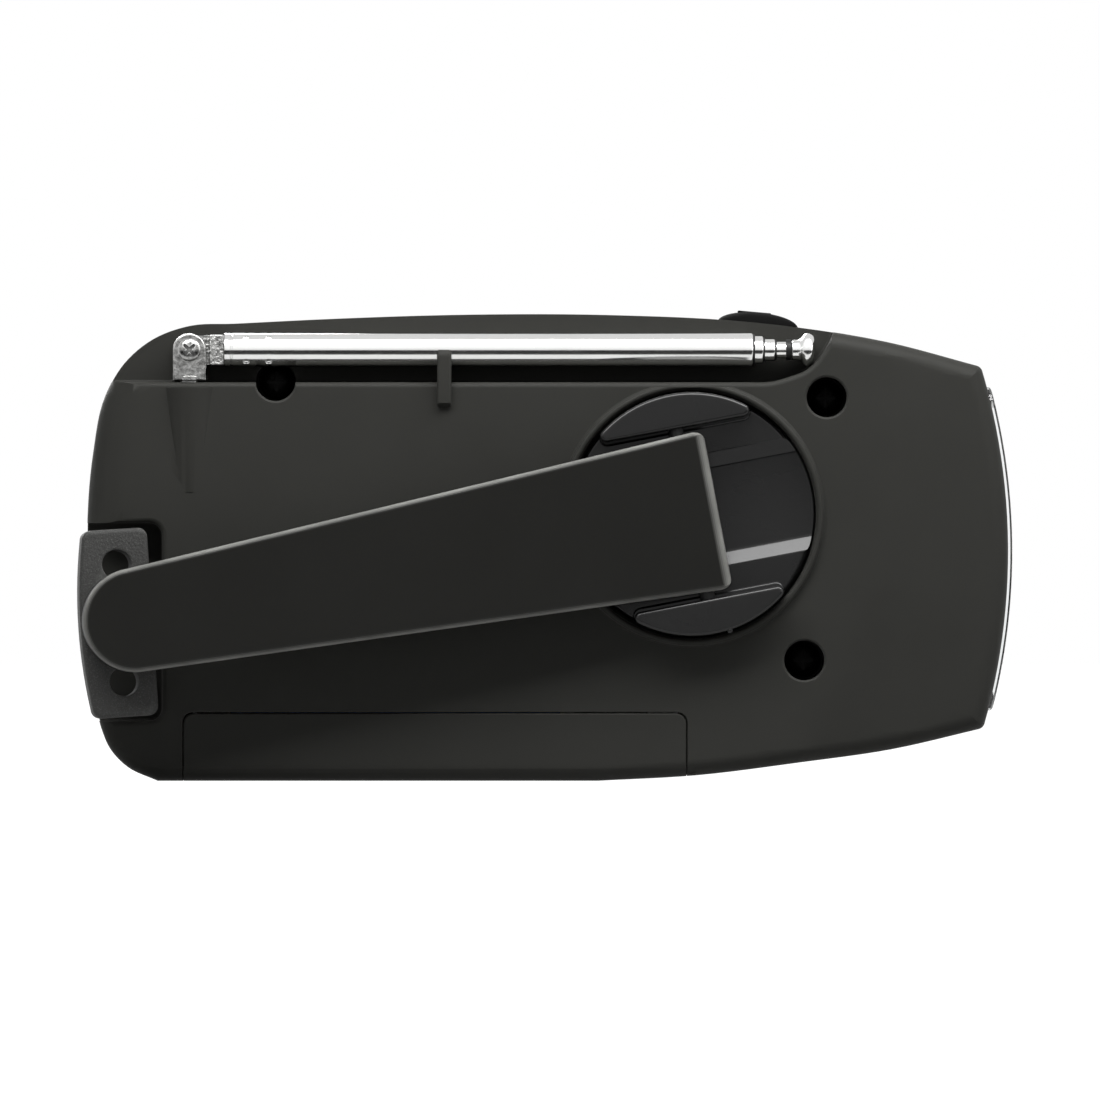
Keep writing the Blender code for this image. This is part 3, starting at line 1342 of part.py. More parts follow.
def intermediate_gear():
    frame = back_spot(INTERMEDIATE)
    facing = INTERMEDIATE_ANGLE + math.pi + math.pi / PINION_TEETH
    outline = gear_outline(PINION_TEETH, facing)
    gear = slab("intermediate_gear", outline, -WHEEL_NEAR - GAP, -DRIVE_NEAR, "white_nylon", frame)
    outline = gear_outline(WHEEL_TEETH, DYNAMO_ANGLE)
    join(gear, slab("intermediate_wheel", outline, -WHEEL_FAR, -WHEEL_NEAR, None, frame))
    radius = AXLE_RADIUS + SLIDE_GAP
    cut(gear, rod("intermediate_bore", radius, -WHEEL_FAR - OVERRUN, 0, TINY_STEPS, None, frame))
    rod("intermediate_axle", AXLE_RADIUS, -BRACKET_FAR, -WELL_INSIDE - GAP, TINY_STEPS, "steel", frame)


def dynamo_pinion():
    frame = back_spot(DYNAMO)
    facing = DYNAMO_ANGLE + math.pi + math.pi / PINION_TEETH
    outline = gear_outline(PINION_TEETH, facing)
    pinion = slab("dynamo_pinion", outline, -WHEEL_FAR - GAP, GAP - WHEEL_NEAR, "white_nylon", frame)
    shaft_end = -BRACKET_FAR - DYNAMO_LENGTH / 2
    join(pinion, rod("dynamo_shaft", AXLE_RADIUS, shaft_end, -WHEEL_NEAR, TINY_STEPS, None, frame))


def dynamo():
    near = -BRACKET_FAR - GAP
    far = near - DYNAMO_LENGTH
    profile = (
        (0, near),
        (DYNAMO_RADIUS - DYNAMO_ROUND, near),
        (DYNAMO_RADIUS, near - DYNAMO_ROUND),
        (DYNAMO_RADIUS, far + DYNAMO_ROUND),
        (DYNAMO_RADIUS - DYNAMO_ROUND, far),
        (0, far),
    )
    frame = back_spot(DYNAMO)
    can = turned("dynamo", profile, MEDIUM_STEPS, "steel", frame)
    bore_end = -BRACKET_FAR - DYNAMO_LENGTH / 2 - GAP
    cut(can, rod("dynamo_bore", AXLE_RADIUS + GAP, bore_end, OVERRUN, TINY_STEPS, None, frame))


def gear_bracket():
    legs = [spot(share) for share in BRACKET_LEG_SHARES]
    circles = [(leg, BRACKET_EAR_RADIUS) for leg in legs] + [(DYNAMO, DYNAMO_RADIUS)]
    circles += [(ROTOR, BRACKET_EAR_RADIUS * 2), (INTERMEDIATE, BRACKET_EAR_RADIUS)]
    outline = hull(circles, BRACKET_ARC_STEPS * 2)
    plate = slab("gear_bracket", outline, -BRACKET_FAR, -BRACKET_NEAR, "white_nylon", BACK_FRAME)
    for index, leg in enumerate(legs):
        low, high = -BRACKET_FAR + GAP, -WALL - GAP
        frame = back_spot(leg)
        join(plate, rod(f"bracket_leg_{index}", BRACKET_LEG_RADIUS, low, high, TINY_STEPS, None, frame))
    holes = ((ROTOR, SHAFT_RADIUS), (INTERMEDIATE, AXLE_RADIUS), (DYNAMO, AXLE_RADIUS))
    for index, (place, radius) in enumerate(holes):
        reach = (-BRACKET_FAR - OVERRUN, -BRACKET_NEAR + GAP)
        frame = back_spot(place)
        cut(plate, rod(f"bracket_hole_{index}", radius + SLIDE_GAP, *reach, SMALL_STEPS, None, frame))


# Antenna: the frame has z along the antenna and x down
ANTENNA_FRAME = Matrix.Translation(
    (ANTENNA_PIVOT[0], BACK_Y + ANTENNA_DEPTH, ANTENNA_PIVOT[1])
) @ Matrix.Rotation(RIGHT_ANGLE, 4, "Y")
TIP_REACH = ANTENNA_TIP_X - ANTENNA_PIVOT[0]
TIP_START = TIP_REACH - TIP_LENGTH - GAP
SECTION_ENDS = (
    TIP_START - SECTION_SHOWS[2] - SECTION_SHOWS[1],
    TIP_START - SECTION_SHOWS[2],
    TIP_START,
)
TUBE_START = TONGUE_REACH
TUBE_END = SECTION_ENDS[0] - SECTION_SHOWS[0]


def antenna_base():
    """The fork that carries the antenna, with the flange and the pin that it swivels on."""
    x, z = ANTENNA_PIVOT
    y = BACK_Y + ANTENNA_DEPTH
    wall = REBATE_WALL_SHARE * HOUSING_HEIGHT + GAP
    thickness = TONGUE_THICKNESS + GAP * 2 + FORK_CHEEK * 2
    outline = [(-FORK_HALF, wall - z), (FORK_HALF, wall - z)]
    outline += arc_points((0, 0), FORK_HALF, 0, math.pi, TINY_STEPS)
    frame = Matrix.Translation((x, y, z)) @ Matrix.Rotation(RIGHT_ANGLE, 4, "X")
    fork = slab("antenna_base", outline, -thickness / 2, thickness / 2, "chrome", frame)
    slot = TONGUE_THICKNESS / 2 + GAP
    low = (x - FORK_HALF - OVERRUN, y - slot, z - FORK_HALF - GAP)
    cut(fork, box("fork_slot", low, (x + FORK_HALF + OVERRUN, y + slot, z + FORK_HALF + OVERRUN)))
    frame = Matrix.Translation((x, y, 0))
    flange_top = wall + FORK_FLANGE_HEIGHT
    join(fork, rod("fork_flange", FORK_FLANGE_RADIUS, wall, flange_top, MEDIUM_STEPS, None, frame))
    join(fork, rod("fork_pin", FORK_PIN_RADIUS, wall - FORK_PIN_LENGTH, wall + GAP, SMALL_STEPS, None, frame))
    cut(fork, pivot_bore())
    return fork


def pivot_bore():
    x, z = ANTENNA_PIVOT
    frame = back_spot((x, z))
    low = -REBATE_DEPTH - OVERRUN
    return rod("pivot_bore", PIVOT_SHANK_RADIUS + SLIDE_GAP, low, OVERRUN, SMALL_STEPS, None, frame)


def antenna_screw():
    """The cross head screw that the antenna turns on."""
    front = -ANTENNA_DEPTH + TONGUE_THICKNESS / 2 + GAP + FORK_CHEEK + GAP
    back = -ANTENNA_DEPTH - TONGUE_THICKNESS / 2 - GAP - FORK_CHEEK
    top = front + PIVOT_SCREW_HEAD
    profile = (
        (0, top),
        (PIVOT_SCREW_RADIUS * 2 / 3, top),
        (PIVOT_SCREW_RADIUS, front + PIVOT_SCREW_HEAD / 2),
        (PIVOT_SCREW_RADIUS, front),
        (PIVOT_SHANK_RADIUS, front),
        (PIVOT_SHANK_RADIUS, back),
        (0, back),
    )
    frame = back_spot(ANTENNA_PIVOT, RIGHT_ANGLE / 2)
    screw = turned("antenna_screw", profile, MEDIUM_STEPS, "chrome", frame)
    cut(screw, cross_recess("antenna_cross", frame, top))


def antenna_tube():
    """The outer tube with its rounded mouth, its end block and its flat tongue."""
    outer, bore = TUBE_RADIUS, TUBE_RADIUS - TUBE_WALL
    lip = TUBE_RADIUS - SECTION_RADII[0] - SLIDE_GAP
    profile = (
        (0, TUBE_END),
        (outer - lip / 2, TUBE_END),
        (outer, TUBE_END - lip),
        (outer, TUBE_START),
        (0, TUBE_START),
    )
    piece = turned("antenna_tube", profile, MEDIUM_STEPS, "chrome", ANTENNA_FRAME)
    bore_start = TUBE_START + BLOCK_LENGTH / 2
    cut(piece, rod("tube_bore", bore, bore_start, TUBE_END + OVERRUN, MEDIUM_STEPS, None, ANTENNA_FRAME))
    half = BLOCK_THICKNESS / 2
    block_start = TUBE_START - BLOCK_LENGTH
    low = (-TUBE_RADIUS + GAP, -half, block_start)
    join(piece, box("tube_block", low, (TUBE_RADIUS - GAP, half, TUBE_START + GAP), None, ANTENNA_FRAME))
    outline = [(block_start + GAP, -FORK_HALF), (block_start + GAP, FORK_HALF)]
    outline += arc_points((0, 0), FORK_HALF - GAP, RIGHT_ANGLE, 3 * RIGHT_ANGLE, SMALL_STEPS)
    # Local x of this frame runs along the antenna and local z points out of the back
    frame = moved(BACK_FRAME, ANTENNA_PIVOT[0], ANTENNA_PIVOT[1], -ANTENNA_DEPTH)
    tongue = TONGUE_THICKNESS / 2
    join(piece, slab("tube_tongue", outline, -tongue, tongue, None, frame))
    cut(piece, pivot_bore())
    return piece


def antenna_sections():
    start = TUBE_START + BLOCK_LENGTH
    names = ("antenna_section_2", "antenna_section_3", "antenna_section_4")
    for index, (name, radius, end) in enumerate(zip(names, SECTION_RADII, SECTION_ENDS)):
        low = start + SECTION_SHORTER * index
        if name != names[-1]:
            wall = radius - SECTION_RADII[index + 1] - SLIDE_GAP
            tube(name, radius, wall, low, end, MEDIUM_STEPS, "chrome", ANTENNA_FRAME)
        else:
            rod(name, radius, low, end, SMALL_STEPS, "chrome", ANTENNA_FRAME)


def antenna_tip():
    end = TIP_REACH
    neck_end = end - TIP_LENGTH + TIP_NECK_LENGTH
    bulb = end - neck_end
    profile = [
        (0, end),
        (TIP_RADIUS * 2 / 3, end),
        (TIP_RADIUS, end - bulb / 3),
        (TIP_RADIUS, end - bulb / 2),
        (TIP_NECK_RADIUS, neck_end),
        (TIP_NECK_RADIUS, end - TIP_LENGTH),
        (0, end - TIP_LENGTH),
    ]
    turned("antenna_tip", profile, MEDIUM_STEPS, "chrome", ANTENNA_FRAME)


# Electronics
def circuit_board():
    (left, low), (right, high) = (spot(share) for share in BOARD_SHARES)
    outline = rounded_box((left, low), (right, high), WALL)
    near = BOARD_Y - BACK_Y
    slab("circuit_board", outline, -near - BOARD_THICKNESS, -near, "board_green", BACK_FRAME)


def board_face():
    """The height of the board's front face in the front frame."""
    return BOARD_Y + BOARD_THICKNESS - FRONT_Y


def speaker():
    frame = front_spot(SPEAKER)
    face = -WALL - GAP
    rim = face - SPEAKER_RIM
    deep = face - SPEAKER_BASKET_DEPTH
    profile = (
        (SPEAKER_RADIUS, face),
        (SPEAKER_RADIUS, rim),
        (SPEAKER_BASKET_RADIUS, deep),
        (SPEAKER_BASKET_RADIUS - SPEAKER_SHELL, deep),
        (SPEAKER_RADIUS - SPEAKER_SHELL * 2, rim + SPEAKER_SHELL),
        (SPEAKER_RADIUS - SPEAKER_SHELL * 2, face),
    )
    turned("speaker_frame", profile, MEDIUM_STEPS, "steel", frame, ring=True)
    rod("speaker_magnet", MAGNET_RADIUS, deep - GAP - MAGNET_LENGTH, deep - GAP, MEDIUM_STEPS, "steel", frame)
    edge = rim + SPEAKER_SHELL
    profile = (
        (0, edge - CONE_DEPTH / 2 + CONE_THICKNESS),
        (CONE_CAP_RADIUS / 2, edge - CONE_DEPTH * 2 / 3 + CONE_THICKNESS),
        (CONE_CAP_RADIUS, edge - CONE_DEPTH + CONE_THICKNESS),
        (CONE_RADIUS, edge + CONE_THICKNESS),
        (CONE_RADIUS, edge),
        (CONE_CAP_RADIUS, edge - CONE_DEPTH),
        (0, edge - CONE_DEPTH),
    )
    turned("speaker_cone", profile, MEDIUM_STEPS, "paper_black", frame)


def ferrite_rod():
    z = ROD_HEIGHT_SHARE * HOUSING_HEIGHT
    y = BOARD_Y - GAP - ROD_RADIUS - SLIDE_GAP - COIL_WALL
    frame = Matrix.Translation((0, y, z)) @ Matrix.Rotation(RIGHT_ANGLE, 4, "Y")
    low, high = (share * HOUSING_LENGTH for share in ROD_SHARES)
    rod("ferrite_rod", ROD_RADIUS, low, high, SMALL_STEPS, "ferrite", frame)
    low, high = (share * HOUSING_LENGTH for share in COIL_SHARES)
    outer = ROD_RADIUS + SLIDE_GAP + COIL_WALL
    tube("ferrite_coil", outer, COIL_WALL, low, high, MEDIUM_STEPS, "copper", frame)


# Controls on the front
def knob(name, share, radius, height, flutes, floor, finish):
    """A fluted knob with its stem, a gap above the surface that it turns on."""
    frame = front_spot(spot(share))
    low = floor + GAP
    cap = slab(name, fluted(radius, FLUTE_DEPTH, flutes), low, low + height, finish, frame)
    wide, narrow = radius + KNOB_EDGE, radius - KNOB_EDGE
    keep(cap, rod(name + "_edge", wide, low - OVERRUN, low + height, MEDIUM_STEPS, None, frame, narrow))
    return cap


def tuning_knob():
    floor = DIAL_THICKNESS + GAP - DIAL_RECESS
    cap = knob("tuning_knob", TUNING_SHARE, TUNING_RADIUS, TUNING_HEIGHT, TUNING_FLUTES, floor, "gloss_black")
    frame = front_spot(spot(TUNING_SHARE))
    stem_low = board_face() + CAPACITOR_HEIGHT / 2
    join(cap, rod("tuning_stem", STEM_RADIUS, stem_low, GAP * 2, SMALL_STEPS, None, frame))
    dial_top = DIAL_THICKNESS - DIAL_RECESS
    outer, inner = DIAL_OUTER_RADIUS, STEM_RADIUS + GAP * 2
    tube("dial_ring", outer, outer - inner, GAP - DIAL_RECESS, dial_top, MEDIUM_STEPS, "pale_grey", frame)
    half = CAPACITOR_SIDE / 2
    low = board_face() + GAP
    high = (half, half, low + CAPACITOR_HEIGHT)
    body = box("tuning_capacitor", (-half, -half, low), high, "pale_grey", frame)
    cut(body, rod("capacitor_bore", STEM_RADIUS + GAP, stem_low - GAP, OVERRUN, SMALL_STEPS, None, frame))


def volume_knob():
    cap = knob("volume_knob", VOLUME_SHARE, VOLUME_RADIUS, VOLUME_HEIGHT, VOLUME_FLUTES, 0, "gloss_black")
    frame = front_spot(spot(VOLUME_SHARE))
    middle = board_face() + POT_HEIGHT / 2
    join(cap, rod("volume_stem", STEM_RADIUS, middle, GAP * 2, SMALL_STEPS, None, frame))
    low = board_face() + GAP
    pot = rod("volume_pot", POT_RADIUS, low, low + POT_HEIGHT, SMALL_STEPS, "steel", frame)
    cut(pot, rod("pot_bore", STEM_RADIUS + GAP, middle - GAP, OVERRUN, SMALL_STEPS, None, frame))


def band_switch():
    """The slide cap with its stem, at one end of its slot, and the switch under it."""
    frame = front_spot(spot(SWITCH_SHARE))
    half_x, half_y = SWITCH_CAP[0] / 2, SWITCH_CAP[1] / 2
    cap = box("band_switch", (-half_x, -half_y, GAP), (half_x, half_y, SWITCH_PROUD), "gloss_black", frame)
    soften(cap, KNOB_EDGE / 2, 1)
    body_low = board_face() + GAP
    body_top = body_low + SWITCH_BODY_HEIGHT
    stem_low = body_top - SWITCH_STEM_REACH
    stem_x, stem_y = SWITCH_STEM[0] / 2, SWITCH_STEM[1] / 2
    join(cap, box("switch_stem", (-stem_x, -stem_y, stem_low), (stem_x, stem_y, GAP * 2), None, frame))
    middle = -SWITCH_TRAVEL / 2
    boss_x = SCREW_SHARES[0][0] * HOUSING_LENGTH - FRONT_BOSS_RADIUS
    reach_x = boss_x - SWITCH_CLEARANCE - SWITCH_SHARE[0] * HOUSING_LENGTH + middle
    reach_y = SWITCH_BODY_WIDTH / 2
    low = (middle - reach_x, -reach_y, body_low)
    body = box("band_switch_body", low, (middle + reach_x, reach_y, body_top), "steel", frame)
    low = (-stem_x - GAP - SWITCH_TRAVEL, -stem_y - GAP, stem_low - GAP)
    cut(body, box("switch_way", low, (stem_x + GAP, stem_y + GAP, OVERRUN), None, frame))


def charge_lens():
    frame = front_spot(spot(CHARGE_SHARE))
    profile = (
        (0, CHARGE_PROUD),
        (CHARGE_RADIUS * 2 / 3, CHARGE_PROUD * 2 / 3),
        (CHARGE_RADIUS, 0),
        (CHARGE_RADIUS, -WALL),
        (0, -WALL),
    )
    turned("charge_lens", profile, TINY_STEPS, "amber", frame)


# Torch end
def torch_lens():
    return lens_block("torch_lens", LENS_HALF_DEPTH, LENS_PROUD - LENS_THICKNESS, LENS_PROUD, 0, "clear")


def reflector():
    low, high = (share * HOUSING_HEIGHT for share in LENS_SHARES)
    face = -REFLECTOR_FACE_SHARE * HOUSING_LENGTH
    margin = LENS_SEAT + GAP
    outline = rounded_box(
        (low + margin, GAP - OPENING_HALF_DEPTH),
        (high - margin, OPENING_HALF_DEPTH - GAP),
        REFLECTOR_EDGE,
    )
    back = face + REFLECTOR_DEPTH
    block = slab("reflector", outline, face, back, "silver", END_FRAME)
    for index, share in enumerate(CUP_SHARES):
        frame = moved(END_FRAME, share * HOUSING_HEIGHT)
        slope = (CUP_RADIUS - CUP_THROAT) / REFLECTOR_DEPTH * GAP
        cup = rod(
            f"cup_{index}",
            CUP_RADIUS + slope,
            face - GAP,
            back + GAP,
            MEDIUM_STEPS,
            None,
            frame,
            CUP_THROAT - slope,
        )
        cut(block, cup)
        lamp_low = back + GAP - LAMP_LENGTH
        profile = (
            (0, back),
            (LAMP_RADIUS, back),
            (LAMP_RADIUS, lamp_low + LAMP_RADIUS),
            (LAMP_RADIUS * 2 / 3, lamp_low + LAMP_RADIUS / 3),
            (0, lamp_low),
        )
        turned(f"torch_lamp_{index + 1}", profile, TINY_STEPS, "clear", frame)
    near = back + GAP
    half = OPENING_HALF_DEPTH - margin
    outline = rounded_box((low + margin * 2, -half), (high - margin * 2, half), REFLECTOR_EDGE)
    slab("lamp_board", outline, near, near + LAMP_BOARD_THICKNESS, "board_green", END_FRAME)


# Torch button and its switch
def torch_button():
    frame = button_frame()
    outline = capsule(BUTTON_LENGTH, BUTTON_WIDTH)
    low = -WALL - BUTTON_TRAVEL - GAP - BUTTON_FLANGE_THICKNESS
    cap = slab("torch_button", outline, low, BUTTON_PROUD, "gloss_black", frame)
    soften(cap, BUTTON_CROWN, 2)
    wide = capsule(BUTTON_LENGTH + BUTTON_FLANGE * 2, BUTTON_WIDTH + BUTTON_FLANGE * 2)
    flange_top = low + BUTTON_FLANGE_THICKNESS
    join(cap, slab("button_flange", wide, low, flange_top, None, frame))
    x = BUTTON_SHARE[0] * HOUSING_LENGTH
    half = TACT_SIDE / 2
    top = tact_top()
    body = box(
        "torch_switch",
        (x - half, BUTTON_Y - half, top - TACT_HEIGHT),
        (x + half, BUTTON_Y + half, top),
        "steel",
    )
    stem_frame = Matrix.Translation((x, BUTTON_Y, 0))
    reach = (top - GAP, top + TACT_STEM_HEIGHT)
    join(body, rod("tact_stem", TACT_STEM_RADIUS, *reach, TINY_STEPS, None, stem_frame))


# Socket cover and the sockets behind it
def socket_cover():
    cover = skin("socket_cover", "rubber")
    low, high = socket_outline(GAP)
    keep(cover, box("cover_bounds", (*low, -OVERRUN), (*high, SOCKET_COVER_TOP_SHARE * HOUSING_HEIGHT)))
    outline = inset(housing_outline(), SOCKET_COVER_SKIN)
    inner = slab("cover_inner", outline, -HOUSING_DEPTH, 0, None, BACK_FRAME)
    cut(cover, inner)


def socket_block():
    low, high = socket_outline(SOCKET_BLOCK_INSET)
    base = socket_block_low()
    block = box("socket_block", (*low, base), (*high, base + SOCKET_BLOCK_HEIGHT), "rough_black")
    quarter = (high[0] - low[0]) / 4
    frame = Matrix.Translation((low[0] + quarter, 0, 0))
    cut(block, rod("jack", JACK_RADIUS, base - OVERRUN, base + PORT_DEPTH, SMALL_STEPS, None, frame))
    x = high[0] - quarter - JACK_RADIUS
    half_x, half_y = PORT_SIZE[0] / 2, PORT_SIZE[1] / 2
    cut(block, box("port", (x - half_x, -half_y, base - OVERRUN), (x + half_x, half_y, base + PORT_DEPTH)))


def build():
    rear_shell()
    front_shell()
    battery_door()
    battery_cell()
    battery_contacts()
    housing_screws()
    crank_rotor()
    rotor_shaft()
    rotor_bearing()
    pin_rod("hinge_pin", PIN_RADIUS, 0, "steel")
    crank_arm()
    crank_grip()
    grip_pin()
    drive_gear()
    intermediate_gear()
    dynamo_pinion()
    dynamo()
    gear_bracket()
    antenna_base()
    antenna_screw()
    antenna_tube()
    antenna_sections()
    antenna_tip()
    circuit_board()
    speaker()
    ferrite_rod()
    tuning_knob()
    volume_knob()
    band_switch()
    charge_lens()
    torch_lens()
    reflector()
    torch_button()
    socket_cover()
    socket_block()


build()
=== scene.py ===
"""Finished pieces, materials, floor and light for a hand cranked radio with a torch end.

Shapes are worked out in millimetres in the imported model's frame, and made metres when a piece is finished.
"""

import math

import bmesh
import bpy
import numpy as np
from bpy.props import FloatProperty, FloatVectorProperty, IntProperty, PointerProperty
from bpy.types import Operator, Panel, PropertyGroup
from mathutils import Matrix, Vector
from mathutils.geometry import interpolate_bezier


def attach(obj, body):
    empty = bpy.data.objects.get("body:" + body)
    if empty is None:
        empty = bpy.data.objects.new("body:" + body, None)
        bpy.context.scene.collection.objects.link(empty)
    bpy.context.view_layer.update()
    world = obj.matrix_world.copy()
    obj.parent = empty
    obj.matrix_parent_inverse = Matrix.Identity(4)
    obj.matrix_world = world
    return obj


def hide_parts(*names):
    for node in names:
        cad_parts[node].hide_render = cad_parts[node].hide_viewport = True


bl_info = {
    "name": "Crank radio dresser",
    "version": (1, 0, 0),
    "blender": (4, 5, 0),
    "location": "3D View > Sidebar > Crank radio",
    "description": "Makes the finished pieces, materials, floor and light of a hand cranked radio",
    "category": "Object",
}

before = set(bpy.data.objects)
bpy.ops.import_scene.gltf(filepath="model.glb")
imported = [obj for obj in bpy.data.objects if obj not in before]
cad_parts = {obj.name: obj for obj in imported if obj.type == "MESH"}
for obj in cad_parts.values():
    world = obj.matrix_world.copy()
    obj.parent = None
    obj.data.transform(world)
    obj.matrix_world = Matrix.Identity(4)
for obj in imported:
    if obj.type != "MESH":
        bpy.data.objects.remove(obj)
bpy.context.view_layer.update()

METRES = Matrix.Scale(0.001, 4)
PLAIN = Matrix()
RIGHT_ANGLE = math.pi / 2
FULL_TURN = math.pi * 2

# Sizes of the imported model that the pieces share, in millimetres, and shares of its length and height
LENGTH, HEIGHT, DEPTH = 149.0, 74.7, 40.0
HALF_DEPTH = DEPTH / 2
PARTING = 8.0
WALL = 2.0
GAP = 0.3
FAR = 160.0
OVER = 3.0
MERGED = 0.0005
TOP_RUN = (
    (0.466, 0.888), (0.364, 0.941), (0.222, 0.983), (0.067, 0.999), (-0.081, 1.0), (-0.242, 0.990),
    (-0.338, 0.9805), (-0.385, 0.976), (-0.4255, 0.9465), (-0.4557, 0.8956), (-0.4758, 0.8273),
    (-0.4893, 0.7028), (-0.4953, 0.5622), (-0.490, 0.335), (-0.4805, 0.115), (-0.471, 0.070),
    (-0.452, 0.030), (-0.4195, 0.0),
)
BOTTOM_RUN = ((0.054, 0.0), (0.161, 0.012), (0.270, 0.039), (0.369, 0.067), (0.4685, 0.1125))
END_BULGE = (0.4953, 0.489)
HEAD_CREASE = (
    (0.364, 1.08), (0.364, 0.80), (0.361, 0.58), (0.351, 0.43), (0.334, 0.31), (0.312, 0.20), (0.285, 0.11),
    (0.255, 0.03), (0.235, -0.05),
)
TAIL_CREASE = (
    (-0.437, 1.05, 1.0), (-0.443, 0.85, 1.0), (-0.458, 0.68, 1.0), (-0.4625, 0.57, 0.8), (-0.465, 0.46, 0.4),
    (-0.466, 0.34, -0.1),
)
REBATE_END = (
    (0.215, 0.8541), (0.238, 0.8550), (0.2597, 0.8661), (0.2779, 0.8809), (0.2919, 0.9090), (0.3047, 0.9505),
    (0.312, 1.02), (0.318, 1.08),
)
SCREWS = ((0.2993, 0.8220), (0.2752, 0.2584), (-0.2926, 0.8568), (-0.4430, 0.3387))
DOOR_LEFT, DOOR_RIGHT = -0.3926 * LENGTH, 0.1497 * LENGTH
REBATE_FLOOR = 6.2
NOTCH_FLOOR = 6.8
# The inner edge of the handle's notch, and its lower and upper edge
NOTCH = (-61.8, 9.6, 41.3)
FLAP_LEFT, FLAP_RIGHT = 0.1812 * LENGTH, 0.2953 * LENGTH
LENS_LOW, LENS_HIGH = 0.150 * HEIGHT, 0.845 * HEIGHT
DISH_FACE, DISH_DEPTH = -0.4630 * LENGTH, 11
LAMPS = (0.302, 0.4976, 0.693)
HEAD_DROP, TAIL_DROP = 4.8, 3.0
HEAD_SPAN, TAIL_SPAN, RISE_SPAN = (33.0, 74.0), (-72.5, -60.0), (2.0, 74.0)
DOOR_REACH = 11
GRILLE_RADIUS = 18.2
SCREW_SEAT = -15.7
ROTOR_RADIUS = 19.5
HINGE_BORE = 1.4
HEEL, HEEL_HALF, TIP_HALF = -4.2, 12.9, 8.3
CRIMPS = (9.1, 12.7)
TUBE_RADIUS, TUBE_END = 2.72, 90.3
# Each inner section of the antenna: its radius, its near and its far end, and the radius of its bore
SECTIONS = ((2.27, 8.0, 91.9, 1.98), (1.78, 12.0, 93.8, 1.56), (1.36, 16.0, 96.1, 0))
SECTION_BODIES = ("section_2", "section_3", "section_4", "section_4")


def spot(shares):
    """A place on the back, in millimetres, from its shares of the length and the height."""
    return shares[0] * LENGTH, shares[1] * HEIGHT


REBATE_WALL = 0.8541 * HEIGHT
ROTOR = spot((0.1544, 0.5716))
GRIP_PIVOT = spot((-0.4584, 0.3387))
ANTENNA_PIVOT = spot((-0.3852, 0.9237))
ANTENNA_PLANE = -16.8
TIP_REACH = 0.2866 * LENGTH - ANTENNA_PIVOT[0]
ARM_REACH = math.dist(ROTOR, GRIP_PIVOT)
ARM_TIP = ARM_REACH - 2.1
ARM_ANGLE = math.atan2(GRIP_PIVOT[1] - ROTOR[1], GRIP_PIVOT[0] - ROTOR[0])
SPEAKER = spot((-0.2416, 0.5355))
TUNING = spot((0.161, 0.402))
VOLUME = spot((0.034, 0.776))
BAND = spot((0.200, 0.796))
CHARGE = spot((0.110, 0.868))
BUTTON = spot((0.2262, 0.978))


def shift(x, y, z):
    return Matrix.Translation((x, y, z))


def moved(base, x=0, y=0, z=0, turn=0):
    """A frame shifted, then turned about its own z."""
    return base @ shift(x, y, z) @ Matrix.Rotation(turn, 4, "Z")


# Turns, and frames whose z points out of the back, out of the front, or back along the length
TURN_X, TURN_Y, TURN_Z = (Matrix.Rotation(RIGHT_ANGLE, 4, axis) for axis in "XYZ")
FLIP_X, FLIP_Z = (Matrix.Rotation(math.pi, 4, axis) for axis in "XZ")
BACK = shift(0, -HALF_DEPTH, 0) @ TURN_X
FRONT = shift(0, HALF_DEPTH, 0) @ FLIP_Z @ TURN_X
END = Matrix.Rotation(-RIGHT_ANGLE, 4, "Y")
ROTOR_FRAME = moved(BACK, *ROTOR, 0, ARM_ANGLE)
HINGE_FRAME = moved(ROTOR_FRAME, 0, 0, 3.9)
ARM_FRAME = HINGE_FRAME @ Matrix.Rotation(-math.radians(5), 4, "Y")
GRIP_FRAME = moved(ARM_FRAME, ARM_REACH, 0, 0, math.radians(3.7) - ARM_ANGLE)
ANTENNA_FRAME = shift(ANTENNA_PIVOT[0], ANTENNA_PLANE, ANTENNA_PIVOT[1]) @ TURN_Y
UPRIGHT_FRAME = shift(ANTENNA_PIVOT[0], ANTENNA_PLANE, 0)
BUTTON_FRAME = shift(BUTTON[0], -5.5, BUTTON[1]) @ Matrix.Rotation(math.radians(5), 4, "Y")


def back_spot(place):
    return moved(BACK, *place)


def front_spot(place):
    return moved(FRONT, -place[0], place[1])


# Outlines
def smooth_run(points, steps):
    """A smooth line through these points, without their last one."""
    spans = [math.dist(a, b) for a, b in zip(points, points[1:])]
    slopes = [(Vector(b) - Vector(a)) / span for a, b, span in zip(points, points[1:], spans)]
    tangents = [slopes[0]]
    for i in range(1, len(spans)):
        tangents.append((slopes[i - 1] * spans[i] + slopes[i] * spans[i - 1]) / (spans[i - 1] + spans[i]))
    tangents.append(slopes[-1])
    run = []
    for i, span in enumerate(spans):
        start, end = Vector(points[i]), Vector(points[i + 1])
        handles = (start + tangents[i] * span / 3, end - tangents[i + 1] * span / 3)
        run += interpolate_bezier(start, *handles, end, steps + 1)[:-1]
    return [(point[0], point[1]) for point in run]


def arc(centre, radius, first, last, steps):
    """Points on an arc about a centre, with both its ends."""
    angles = [first + (last - first) * i / steps for i in range(steps + 1)]
    return [(centre[0] + radius * math.cos(a), centre[1] + radius * math.sin(a)) for a in angles]


